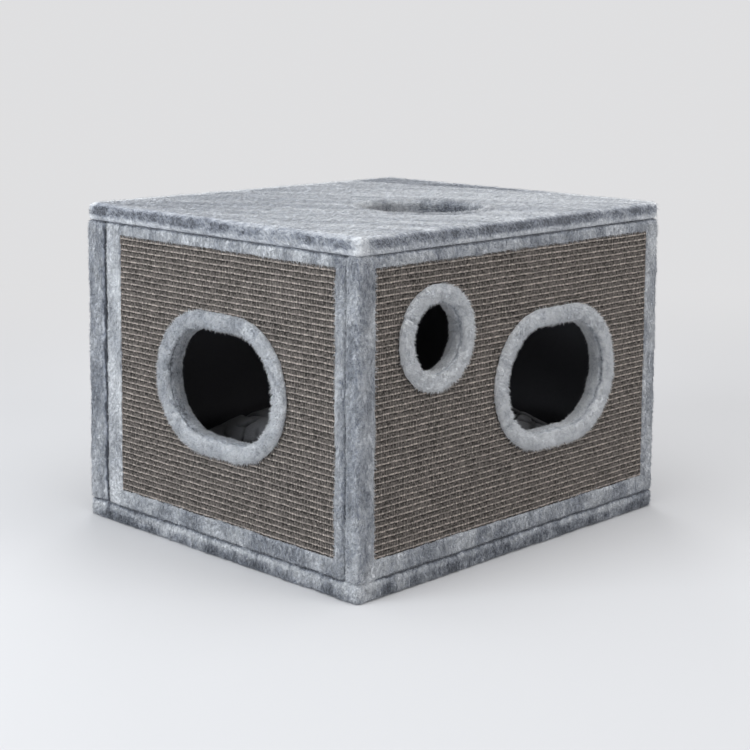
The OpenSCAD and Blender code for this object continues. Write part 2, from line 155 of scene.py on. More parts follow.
world = bpy.data.worlds.new("studio")
world.use_nodes = True
tree = world.node_tree
sky = tree.nodes["Background"]
sky.inputs["Color"].default_value = SKY_COLOUR
sky.inputs["Strength"].default_value = SKY_STRENGTH
backdrop = put(tree, "ShaderNodeBackground", {"Color": BACKDROP_COLOUR}).outputs["Background"]
sky_mix = put(tree, "ShaderNodeMixShader", {0: seen_rays(tree), 1: sky.outputs["Background"], 2: backdrop})
tree.links.new(sky_mix.outputs["Shader"], tree.nodes["World Output"].inputs["Surface"])
scene.world = world
area_lamp("overhead", (-0.3, -0.4, 2.6), (0, 0, 0.3), 2.4, 45)
area_lamp("left_side", (-2.6, 0.5, 1.4), (0, 0, 0.2), 1.6, 52, (0.9, 0.95, 1.0))
area_lamp("front_side", (0.8, -2.6, 1.4), (0, 0, 0.2), 1.6, 26)
area_lamp("rear", (2.0, 2.4, 1.3), (0, 0, 0.3), 1.6, 30)


# Boards: six chipboard panels, sawn square and drilled for the dowels and screws.
# They stay the frame's own solids, with pressed wood flakes in the paint.
FLAKE_COLOURS = ((0.36, 0.24, 0.13, 1), (0.62, 0.46, 0.28, 1))


def paint(material, *nodes):
    """Gives CAD nodes that keep their own shape a finish."""
    for node in nodes:
        mesh = frame["nodes"][node].data
        mesh.materials.clear()
        mesh.materials.append(material)


def colour_mix(tree, share, low, high):
    """A colour between low and high, by a share that changes over the surface."""
    return put(tree, "ShaderNodeMix", {0: share, 6: low, 7: high}, data_type="RGBA").outputs[2]


def tint(tree, shader, share, low, high):
    tree.links.new(colour_mix(tree, share, low, high), shader.inputs["Base Color"])


def emboss(tree, shader, height, strength, distance):
    """Lets a pattern stand out of the surface by that distance."""
    bump = put(tree, "ShaderNodeBump", {"Height": height, "Strength": strength, "Distance": distance})
    tree.links.new(bump.outputs["Normal"], shader.inputs["Normal"])


chipboard, tree, shader = new_material("chipboard", {"Roughness": 0.8})
place = place_on(tree)
flakes = put(tree, "ShaderNodeTexVoronoi", {"Vector": place, "Scale": 260, "Randomness": 1.0})
flake_shade = put(tree, "ShaderNodeSeparateColor", {"Color": flakes.outputs["Color"]}).outputs["Red"]
tint(tree, shader, flake_shade, *FLAKE_COLOURS)
emboss(tree, shader, flake_shade, 0.3, 0.0006)
paint(
    chipboard, "base_board", "top_board", "front_board", "back_board", "left_board", "right_board"
)


# Battens, dowels and screws: square posts in the four corners take the screws that hold the walls,
# and beech dowels pin the walls to the base and the top. The posts are stained dark, as the cabin is.
STAIN_COLOURS = ((0.010, 0.009, 0.009, 1), (0.024, 0.021, 0.020, 1))
BEECH_COLOURS = ((0.50, 0.34, 0.20, 1), (0.66, 0.49, 0.31, 1))
STEEL_COLOURS = ((0.45, 0.45, 0.46, 1), (0.66, 0.66, 0.67, 1))


def cloudy(tree, place, scale, detail, **more):
    """A cloud pattern. more gives its Roughness and Distortion, where they matter."""
    wires = {"Vector": place, "Scale": scale, "Detail": detail, **more}
    return put(tree, "ShaderNodeTexNoise", wires).outputs["Fac"]


def wood(name, colours, roughness):
    """Wood with its grain along Z."""
    material, tree, shader = new_material(name, {"Roughness": roughness})
    place = place_on(tree)
    along = put(tree, "ShaderNodeMapping", {"Vector": place, "Scale": (1, 1, 0.06)}).outputs["Vector"]
    grain = cloudy(tree, along, 320, 4, Distortion=0.6)
    tint(tree, shader, grain, *colours)
    emboss(tree, shader, grain, 0.25, 0.0005)
    return material


paint(
    wood("stained_post", STAIN_COLOURS, 0.7),
    "front_left_batten", "front_right_batten", "back_left_batten", "back_right_batten",
)
paint(wood("beech_dowel", BEECH_COLOURS, 0.6), "base_dowels", "top_dowels")

screw_steel, tree, shader = new_material("screw_steel", {"Metallic": 1.0})
place = place_on(tree)
scuffs = cloudy(tree, place, 900, 3)
tint(tree, shader, scuffs, *STEEL_COLOURS)
dull = put(tree, "ShaderNodeMapRange", {"Value": scuffs, "To Min": 0.3, "To Max": 0.5})
tree.links.new(dull.outputs["Result"], shader.inputs["Roughness"])
paint(screw_steel, "base_screws", "top_screws", "end_wall_screws", "side_wall_screws")


# Linings: thin black felt glued to the inside of every board, and the cloth tacked under the base.
# Felt is matted fibre, so it has no weave, only a fine uneven nap.
FELT_COLOURS = ((0.04, 0.04, 0.045, 1), (0.09, 0.09, 0.098, 1))
DUST_CLOTH_COLOURS = ((0.016, 0.016, 0.018, 1), (0.035, 0.035, 0.038, 1))


def felt(name, colours, fibre_scale):
    material, tree, shader = new_material(name, {"Roughness": 0.95, "Specular IOR Level": 0.15})
    place = place_on(tree)
    fibres = cloudy(tree, place, fibre_scale, 5, Roughness=0.7, Distortion=1.2)
    tint(tree, shader, fibres, *colours)
    emboss(tree, shader, fibres, 0.5, 0.0008)
    return material


paint(
    felt("black_felt", FELT_COLOURS, 420),
    "floor_lining", "ceiling_lining", "front_lining", "back_lining", "left_lining", "right_lining",
)
paint(felt("dust_cloth", DUST_CLOTH_COLOURS, 900), "base_dust_cloth")


# Base wrap: a strip of silver-grey plush pulled round the edges of the base board and turned under,
# with soft corners. It is stapled below, where the dust cloth covers its raw edge.
PLUSH_EDGE = 0.005
PLUSH_CORNER = 0.006
PILE_H = 0.0012
SKIN_T = 0.0012
SKIN_GRID = 0.0028
LOCK_R, LOCK_L, LOCK_SUNK = 0.00045, 0.0066, 0.0008
STRAY = 0.35
# Painted shade in the seams between panels and in the crease under the back panel's joint: where pile is
# left off, how dark and wide the shade is, and how its deepest part is broken up.
SEAM_BARE, SEAM_SHADE, SEAM_DEEP = 0.0014, 0.9, -0.35
SEAM_W, LEFT_SEAM_W, SEAM_CORE = 0.0022, 0.0036, 0.0008
CREASE_W, CREASE_BARE = 0.003, 0.0016
SEAM_SHADE_BREAKUP, SEAM_SHADE_BREAKUP_SIZE = 0.5, 0.016
TUFT_W = 0.045
FLAT_MAP = "OFBake"
MAP_STEP = 1 / 1024
PLUSH_ROOTS = (0.245, 0.266, 0.312, 1)
PLUSH_TIPS = (0.97, 0.985, 1.0, 1)


def only(piece):
    """Makes one object the whole selection."""
    bpy.ops.object.select_all(action="DESELECT")
    piece.select_set(True)
    bpy.context.view_layer.objects.active = piece


def face_middles(piece):
    middles = np.empty(len(piece.data.polygons) * 3)
    piece.data.polygons.foreach_get("center", middles)
    return middles.reshape(-1, 3)


def points_of(piece):
    points = np.empty(len(piece.data.vertices) * 3)
    piece.data.vertices.foreach_get("co", points)
    return points.reshape(-1, 3)


def move_points(piece, points):
    piece.data.vertices.foreach_set("co", points.ravel())
    piece.data.update()


def edit_only(piece, kind, chosen):
    """Opens edit mode with just these of its faces or edges selected."""
    only(piece)
    bpy.ops.object.mode_set(mode="EDIT")
    bpy.ops.mesh.select_mode(type=kind)
    bpy.ops.mesh.select_all(action="DESELECT")
    bpy.ops.object.mode_set(mode="OBJECT")
    elements = piece.data.polygons if kind == "FACE" else piece.data.edges
    elements.foreach_set("select", chosen)
    bpy.ops.object.mode_set(mode="EDIT")


def cut_away(piece, hidden):
    """Deletes the faces whose middles pass the test."""
    edit_only(piece, "FACE", hidden(*face_middles(piece).T))
    bpy.ops.mesh.delete(type="FACE")
    bpy.ops.object.mode_set(mode="OBJECT")


def apply_modifier(piece, kind, **settings):
    only(piece)
    modifier = piece.modifiers.new(kind.lower(), kind)
    for key, value in settings.items():
        setattr(modifier, key, value)
    bpy.ops.object.modifier_apply(modifier=modifier.name)


def soft_block(name, low, high, corner_axis, corner_r):
    """A block a pile's height inside a panel's sides, with wide corners about one axis and soft edges
    all round."""
    inset = Vector((PILE_H, PILE_H, 0))
    low, high = low + inset, high - inset
    bpy.ops.object.select_all(action="DESELECT")
    bpy.ops.mesh.primitive_cube_add(size=1, location=(low + high) / 2, scale=high - low)
    block = bpy.context.object
    block.name = name
    bpy.ops.object.transform_apply()
    if corner_r > 0:
        corners = [
            abs(block.data.vertices[a].co[corner_axis] - block.data.vertices[b].co[corner_axis]) > PILE_H
            for a, b in (edge.vertices for edge in block.data.edges)
        ]
        edit_only(block, "EDGE", corners)
        bpy.ops.mesh.bevel(offset=corner_r, segments=5, affect="EDGES")
        bpy.ops.object.mode_set(mode="OBJECT")
    apply_modifier(
        block, "BEVEL", width=PLUSH_EDGE, segments=4, limit_method="ANGLE",
        angle_limit=math.radians(60),
    )
    return block


def even_skin(piece, grid):
    """Lays an even net of small faces over a block, and eases its edges."""
    only(piece)
    piece.data.remesh_voxel_size = grid
    bpy.ops.object.voxel_remesh()
    apply_modifier(piece, "SMOOTH", factor=0.5, iterations=3)


def ruffle(piece, size, height, depth=2, direction="NORMAL", kind="GRAYSCALE", middle=0.5):
    """Moves the surface by a cloud pattern with lumps of that size and height."""
    texture = bpy.data.textures.new(piece.name + "_lumps", "CLOUDS")
    texture.noise_scale = size
    texture.noise_depth = depth
    texture.cloud_type = kind
    apply_modifier(
        piece, "DISPLACE", texture=texture, texture_coords="GLOBAL", strength=height,
        mid_level=middle, direction=direction,
    )


def lay_flat(piece):
    """Unfolds a skin into a flat map, while it is still smooth."""
    only(piece)
    piece.data.uv_layers.new(name=FLAT_MAP)
    bpy.ops.object.mode_set(mode="EDIT")
    bpy.ops.mesh.select_all(action="SELECT")
    bpy.ops.uv.smart_project(angle_limit=math.radians(66), island_margin=0.004)
    bpy.ops.object.mode_set(mode="OBJECT")


def crumple(piece, height):
    """Gives the plush skin its soft lumps."""
    ruffle(piece, size=0.060, height=height, middle=0.3)
    ruffle(piece, size=0.018, height=height * 0.7, middle=0.35)


def ramp(value, start, end):
    """A share that grows from 0 at start to 1 at end."""
    return np.clip((value - start) / (end - start), 0, 1)


def wander(points, size):
    """A smooth random value from -1 to 1 at each point, with lumps of that size."""
    return np.array([noise.noise(Vector(point) / size) for point in points])


def brush(piece, nap_and_painted_light):
    """Records how light or dark the plush is at each point, above 0 for light and below 0 for dark: partly
    the nap's own light and dark sides, partly painted shade in seams, creases and hollows and painted light
    on edges and faces.
    """
    points = points_of(piece)
    values = nap_and_painted_light(*points.T) + np.zeros(len(points))
    # The deepest painted shade, in the seams, is broken up by a smooth random pattern.
    values *= np.where(values < SEAM_DEEP, 0.85 + SEAM_SHADE_BREAKUP * wander(points, SEAM_SHADE_BREAKUP_SIZE), 1)
    piece.data.attributes.new("nap_and_painted_light", "FLOAT", "POINT").data.foreach_set("value", values)


def press(piece, axis, low, high):
    """Holds the pile between two planes across an axis, as the neighbouring panels do."""
    points = points_of(piece)
    points[:, axis] = np.clip(points[:, axis], low, high)
    move_points(piece, points)


bpy.ops.object.select_all(action="DESELECT")
bpy.ops.mesh.primitive_cone_add(
    vertices=3, radius1=LOCK_R, radius2=0, depth=LOCK_L, location=(0, 0, LOCK_L / 2 - LOCK_SUNK)
)
lock = bpy.context.object
lock.name = "lock"
bpy.ops.object.transform_apply()
lock.data.uv_layers.remove(lock.data.uv_layers[0])
tip = lock.data.attributes.new("tip", "FLOAT", "POINT")
fan = lock.data.attributes.new("fan", "FLOAT_VECTOR", "POINT")
for i, point in enumerate(lock.data.vertices):
    up = (point.co.z + LOCK_SUNK) / LOCK_L
    tip.data[i].value = up
    fan.data[i].vector = (point.co.x / LOCK_R * MAP_STEP, (point.co.y / LOCK_R + 2 * up) * MAP_STEP, 0)

planting = bpy.data.node_groups.new("planted pile", "GeometryNodeTree")
for socket, kind in (
    ("Geometry", "NodeSocketGeometry"), ("Locks per Square Metre", "NodeSocketFloat"),
    ("Nap", "NodeSocketVector"), ("Swirl", "NodeSocketFloat"), ("Swirl Scale", "NodeSocketFloat"),
    ("Rise", "NodeSocketFloat"), ("Length", "NodeSocketFloat"), ("Seed", "NodeSocketInt"),
):
    planting.interface.new_socket(socket, in_out="INPUT", socket_type=kind)
planting.interface.new_socket("Geometry", in_out="OUTPUT", socket_type="NodeSocketGeometry")


def vectors(operation, *values):
    """A sum, difference or the like of two vectors."""
    return put(planting, "ShaderNodeVectorMath", dict(enumerate(values)), operation=operation).outputs[0]


def lengthen(vector, times):
    return put(planting, "ShaderNodeVectorMath", {0: vector, "Scale": times}, operation="SCALE").outputs[0]


def chance(low, high, seed):
    """A random number for each lock."""
    return put(
        planting, "FunctionNodeRandomValue", {2: low, 3: high, "Seed": seed}, data_type="FLOAT"
    ).outputs[1]


def record(geometry, name, value, kind, domain):
    return put(
        planting, "GeometryNodeStoreNamedAttribute", {"Geometry": geometry, "Name": name, "Value": value},
        data_type=kind, domain=domain,
    ).outputs["Geometry"]


def recorded(name):
    return put(
        planting, "GeometryNodeInputNamedAttribute", {"Name": name}, data_type="FLOAT_VECTOR"
    ).outputs[0]


wish = planting.nodes.new("NodeGroupInput").outputs
roots = put(
    planting, "GeometryNodeDistributePointsOnFaces",
    {"Mesh": wish["Geometry"], "Density": wish["Locks per Square Metre"], "Seed": wish["Seed"]},
    distribute_method="RANDOM",
)
place = put(planting, "GeometryNodeInputPosition", {}).outputs["Position"]
eddies = put(
    planting, "ShaderNodeTexNoise", {"Vector": place, "Scale": wish["Swirl Scale"], "Detail": 2.0}
).outputs["Color"]
eddy = lengthen(vectors("SUBTRACT", eddies, (0.5, 0.5, 0.5)), wish["Swirl"])
brushed = vectors("ADD", eddy, wish["Nap"])
stray = put(
    planting, "FunctionNodeRandomValue", {0: (-STRAY, -STRAY, -STRAY), 1: (STRAY, STRAY, STRAY), "Seed": 1},
    data_type="FLOAT_VECTOR",
).outputs[0]
strayed = vectors("ADD", brushed, stray)
normal = roots.outputs["Normal"]
along = vectors("SUBTRACT", strayed, vectors("PROJECT", strayed, normal))
rise = reckon(planting, "MULTIPLY", chance(0.4, 1.7, 4), wish["Rise"])
direction = vectors("ADD", vectors("NORMALIZE", along), lengthen(normal, rise))
turn = put(
    planting, "FunctionNodeAlignRotationToVector", {"Vector": direction}, axis="Z"
).outputs["Rotation"]
growth = chance(0.65, 1.3, 2)
length = reckon(planting, "MULTIPLY", growth, wish["Length"])
size = put(planting, "ShaderNodeCombineXYZ", {"X": growth, "Y": growth, "Z": length}).outputs["Vector"]
shape = put(planting, "GeometryNodeObjectInfo", {"Object": lock}).outputs["Geometry"]
planted = put(
    planting, "GeometryNodeInstanceOnPoints",
    {"Points": roots.outputs["Points"], "Instance": shape, "Rotation": turn, "Scale": size},
).outputs["Instances"]
toned = record(planted, "tone", chance(0.0, 1.0, 3), "FLOAT", "INSTANCE")
spotted = record(toned, "spot", recorded(FLAT_MAP), "FLOAT_VECTOR", "INSTANCE")
grown = put(planting, "GeometryNodeRealizeInstances", {"Geometry": spotted}).outputs["Geometry"]
mapped = record(grown, FLAT_MAP, vectors("ADD", recorded("spot"), recorded("fan")), "FLOAT2", "CORNER")
planting.links.new(mapped, planting.nodes.new("NodeGroupOutput").inputs["Geometry"])


def plant_pile(piece, bare, per_m2, nap, swirl, swirl_scale, rise, length, seed, skin_t=SKIN_T):
    """Plants locks of pile on a skin, apart from the faces that pass the test, and then gives the skin
    its thickness, unless it is a closed shape that needs none."""
    pile = piece.copy()
    pile.data = piece.data.copy()
    scene.collection.objects.link(pile)
    cut_away(pile, bare)
    modifier = pile.modifiers.new("planting", "NODES")
    modifier.node_group = planting
    values = (per_m2, nap, swirl, swirl_scale, rise, length, seed)
    sockets = [i.identifier for i in planting.interface.items_tree if i.in_out == "INPUT"]
    for identifier, value in zip(sockets[1:], values):
        modifier[identifier] = value
    bpy.ops.object.modifier_apply(modifier=modifier.name)
    for extra in ("spot", "fan"):
        pile.data.attributes.remove(pile.data.attributes[extra])
    if skin_t > 0:
        apply_modifier(piece, "SOLIDIFY", thickness=skin_t, offset=-1)
    only(piece)
    pile.select_set(True)
    bpy.ops.object.join()


def dress(piece, material, slot, body, *nodes):
    """Finishes a new piece: its material, the body it rides on and the nodes it stands for. slot is not
    used.
    """
    only(piece)
    bpy.ops.object.shade_smooth()
    piece.data.materials.clear()
    piece.data.materials.append(material)
    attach(piece, body)
    if nodes:
        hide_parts(*nodes)


def new_group(name, inputs, outputs):
    """A shader node group with named sockets; gives its tree and the nodes at its two ends."""
    group = bpy.data.node_groups.new(name, "ShaderNodeTree")
    for socket, kind, value in inputs:
        item = group.interface.new_socket(socket, in_out="INPUT", socket_type=kind)
        if value is not None:
            item.default_value = value
    for socket, kind in outputs:
        group.interface.new_socket(socket, in_out="OUTPUT", socket_type=kind)
    return group, group.nodes.new("NodeGroupInput"), group.nodes.new("NodeGroupOutput")


def sums(tree, *weighted):
    """A weighted sum of values, each given as (output, weight)."""
    total = 0.0
    for value, weight in weighted:
        total = reckon(tree, "MULTIPLY_ADD", value, weight, total)
    return total


nap, nap_in, nap_out = new_group(
    "plush nap",
    [
        ("Place", "NodeSocketVector", None),
        ("Along Nap", "NodeSocketVector", None),
        ("Tip", "NodeSocketFloat", 0),
        ("Tone", "NodeSocketFloat", 0),
        ("Darker Band", "NodeSocketFloat", 0),
        ("Nap and Painted Light", "NodeSocketFloat", 0),
        ("Roots", "NodeSocketColor", PLUSH_ROOTS),
        ("Tips", "NodeSocketColor", PLUSH_TIPS),
        ("Patch Scale", "NodeSocketFloat", 30),
        ("Patch Weight", "NodeSocketFloat", 0.4),
        ("Fibre Scale", "NodeSocketFloat", 800),
    ],
    [("Colour", "NodeSocketColor"), ("Height", "NodeSocketFloat")],
)
swirl = put(nap, "ShaderNodeTexNoise", {"Vector": nap_in.outputs["Place"], "Scale": 60, "Detail": 2})
swirl_half = put(
    nap, "ShaderNodeVectorMath", {0: swirl.outputs["Color"], 1: (0.5, 0.5, 0.5)}, operation="SUBTRACT"
)
swept = put(
    nap, "ShaderNodeVectorMath",
    {0: swirl_half.outputs[0], 1: (0.012, 0.012, 0.012), 2: nap_in.outputs["Along Nap"]},
    operation="MULTIPLY_ADD",
).outputs[0]
patches = cloudy(nap, swept, nap_in.outputs["Patch Scale"], 3, Roughness=0.55)
patch_share = share_of(nap, patches, 0.33, 0.68, "SMOOTHSTEP")
tufts = cloudy(nap, swept, 290, 2, Roughness=0.6)
tuft_share = share_of(nap, tufts, 0.36, 0.64)
fibres = cloudy(nap, swept, nap_in.outputs["Fibre Scale"], 3, Roughness=0.7)
fibre_share = share_of(nap, fibres, 0.3, 0.7)
fine_share = sums(
    nap, (1.0, -0.07), (tuft_share, 0.42), (fibre_share, 0.16), (nap_in.outputs["Tip"], 0.26),
    (nap_in.outputs["Tone"], 0.36), (nap_in.outputs["Darker Band"], -0.5), (nap_in.outputs["Nap and Painted Light"], 1.0),
)
patch_offset = reckon(nap, "SUBTRACT", patch_share, 0.5)
nap_share = reckon(nap, "MULTIPLY_ADD", patch_offset, nap_in.outputs["Patch Weight"], fine_share)
nap_colour = colour_mix(nap, nap_share, nap_in.outputs["Roots"], nap_in.outputs["Tips"])
depth_shade = put(
    nap, "ShaderNodeMapRange",
    {"Value": nap_share, "From Min": -0.3, "From Max": 0.0, "To Min": 0.3, "To Max": 1.0},
).outputs["Result"]
shaded = put(
    nap, "ShaderNodeVectorMath", {0: nap_colour, "Scale": depth_shade}, operation="SCALE"
).outputs[0]
nap.links.new(shaded, nap_out.inputs["Colour"])
nap.links.new(sums(nap, (tuft_share, 0.5), (fibre_share, 0.5)), nap_out.inputs["Height"])


def distance_from(tree, value, middle):
    """How far a value is from a middle, on either side."""
    return reckon(tree, "ABSOLUTE", reckon(tree, "SUBTRACT", value, middle))


def plush(name, stretch, patch_scale, patch_weight, turn=0, band=None, roots=PLUSH_ROOTS):
    """Plush whose nap lies along the axis that stretch draws out, after a turn about Z. band gives the
    middle and half height of a strip that is darker in patches."""
    material, tree, shader = new_material(
        name,
        {
            "Roughness": 0.95, "Specular IOR Level": 0.2, "Sheen Weight": 0.6,
            "Sheen Roughness": 0.45, "Sheen Tint": (0.88, 0.92, 1.0, 1),
        },
    )
    place = place_on(tree)
    turned = put(tree, "ShaderNodeMapping", {"Vector": place, "Rotation": (0, 0, turn)}).outputs["Vector"]
    along = put(tree, "ShaderNodeMapping", {"Vector": turned, "Scale": stretch}).outputs["Vector"]
    pile = put(tree, "ShaderNodeGroup", {}, node_tree=nap)
    for socket, value in (
        ("Roots", roots), ("Patch Scale", patch_scale), ("Patch Weight", patch_weight)
    ):
        pile.inputs[socket].default_value = value
    if band:
        height = put(tree, "ShaderNodeSeparateXYZ", {"Vector": place}).outputs["Z"]
        band_middle, band_half = band
        off_band = distance_from(tree, height, band_middle)
        in_band = share_of(tree, off_band, band_half, band_half / 3, "SMOOTHSTEP")
        band_patches = share_of(tree, cloudy(tree, place, 22, 2), 0.34, 0.56)
        tree.links.new(reckon(tree, "MULTIPLY", in_band, band_patches), pile.inputs["Darker Band"])
    for socket, attribute in (("Tip", "tip"), ("Tone", "tone"), ("Nap and Painted Light", "nap_and_painted_light")):
        value = put(tree, "ShaderNodeAttribute", {}, attribute_name=attribute).outputs["Fac"]
        tree.links.new(value, pile.inputs[socket])
    tree.links.new(place, pile.inputs["Place"])
    tree.links.new(along, pile.inputs["Along Nap"])
    tree.links.new(pile.outputs["Colour"], shader.inputs["Base Color"])
    emboss(tree, shader, pile.outputs["Height"], 0.7, 0.0025)
    return material


base_nap = plush("base_plush", (1, 1, 0.6), patch_scale=42, patch_weight=0.5, band=(0.008, 0.011))
low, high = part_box("base_plush")
floor_low, floor_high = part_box("floor_lining")
cloth_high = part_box("base_dust_cloth")[1]
base_wrap = soft_block("base_wrap", low, high, 2, PLUSH_CORNER)
even_skin(base_wrap, SKIN_GRID)
lay_flat(base_wrap)
middle_z = (low.z + high.z) / 2
cut_away(
    base_wrap,
    lambda x, y, z: (
        (z > middle_z) & (abs(x) < floor_high.x) & (y > floor_low.y) & (y < floor_high.y)
    )
    | ((z < middle_z) & (abs(x) < cloth_high.x) & (abs(y) < cloth_high.y)),
)
crumple(base_wrap, 0.0030)
press(base_wrap, 2, 0, high.z)
start_y, end_y = (corner.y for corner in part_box("left_plush"))


def near_tuft(x, y):
    """1 at the near corner, where the pile of the wall and the base closes over their seam."""
    return ramp(x, low.x + TUFT_W, low.x + TUFT_W / 2) * (y < start_y)


def base_nap_and_shade(x, y, z):
    """Light at the rear, on the upper half of the left side and at the near corner, dark in the lower half.
    Painted shade darkens the crease below the back panel's joint and the seam under the walls."""
    on_left = x < low.x + PLUSH_EDGE
    tuft = near_tuft(x, y)
    rear = 0.4 * ramp(y, end_y, end_y + 0.004)
    lower = 0.1 * ramp(z, middle_z, middle_z - 0.008)
    upper_left = 0.26 * on_left * ramp(z, middle_z - 0.005, middle_z + 0.003)
    crease = np.exp(-(((y - end_y) / CREASE_W) ** 2)) * (abs(x) > cloth_high.x)
    seam = ramp(z, high.z - np.where(on_left, LEFT_SEAM_W, SEAM_W), high.z - SEAM_CORE)
    return 0.06 + rear - lower + upper_left + 0.2 * tuft - crease - SEAM_SHADE * (1 - tuft) * seam


def bare_base(x, y, z):
    """Where the base has no pile: underneath, in the seam and in the crease."""
    seam = (z > high.z - SEAM_BARE) & (near_tuft(x, y) < 0.5)
    return (z < PILE_H + 0.001) | seam | (abs(y - end_y) < CREASE_BARE)


brush(base_wrap, base_nap_and_shade)
plant_pile(
    base_wrap, bare_base, per_m2=300000, nap=(0, 0, -0.35), swirl=2.2, swirl_scale=45, rise=0.24,
    length=1.0, seed=11,
)
press(base_wrap, 2, 0, high.z)
dress(base_wrap, base_nap, "plush", "house", "base_plush")


# Wall wraps: each wall board has plush pulled round its edges, with a window left for its mat.
# The front and back panels cover the ends of the side panels, and their covers turn in behind them.
WINDOW_DEPTH = 0.006
CORNER_LEAN = 0.5
END_STRIP = 0.006
PILE_ROOM = 0.02
FAR_TUFT_FROM, FAR_TUFT_FULL = 0.018, 0.008
EDGE_SEAM_FROM, EDGE_SEAM_FULL = 0.0024, 0.0010
RIDGE_FROM, RIDGE_FULL, RIDGE_HIGHLIGHT = 0.0045, 0.0030, 0.3
INSIDE_BARE, RIDGE_BARE = 0.004, 0.0008
FRONT_TURN_IN, SIDE_TURN_IN = 0.018, 0.006
wall_nap = plush("wall_plush", (1, 1, 0.45), patch_scale=30, patch_weight=0.5)


def cut_window(panel, mat_node, axis, side):
    """Sinks the place of the mat into the outer face of a panel."""
    mat_low, mat_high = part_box(mat_node)
    only(panel)
    for across in {0, 1, 2} - {axis}:
        for edge in (mat_low, mat_high):
            normal = Vector((0, 0, 0))
            normal[across] = 1
            bpy.ops.object.mode_set(mode="EDIT")
            bpy.ops.mesh.select_all(action="SELECT")
            bpy.ops.mesh.bisect(plane_co=edge, plane_no=normal)
            bpy.ops.object.mode_set(mode="OBJECT")
    middles = face_middles(panel)
    inside = np.ones(len(middles), bool)
    for across in {0, 1, 2} - {axis}:
        inside &= (middles[:, across] > mat_low[across]) & (middles[:, across] < mat_high[across])
    inside &= (middles[:, axis] - (mat_low + mat_high)[axis] / 2) * side > 0
    edit_only(panel, "FACE", inside)
    inwards = Vector((0, 0, 0))
    inwards[axis] = -side * WINDOW_DEPTH
    bpy.ops.mesh.extrude_region_move(TRANSFORM_OT_translate={"value": inwards})
    bpy.ops.object.mode_set(mode="OBJECT")
    return mat_low, mat_high


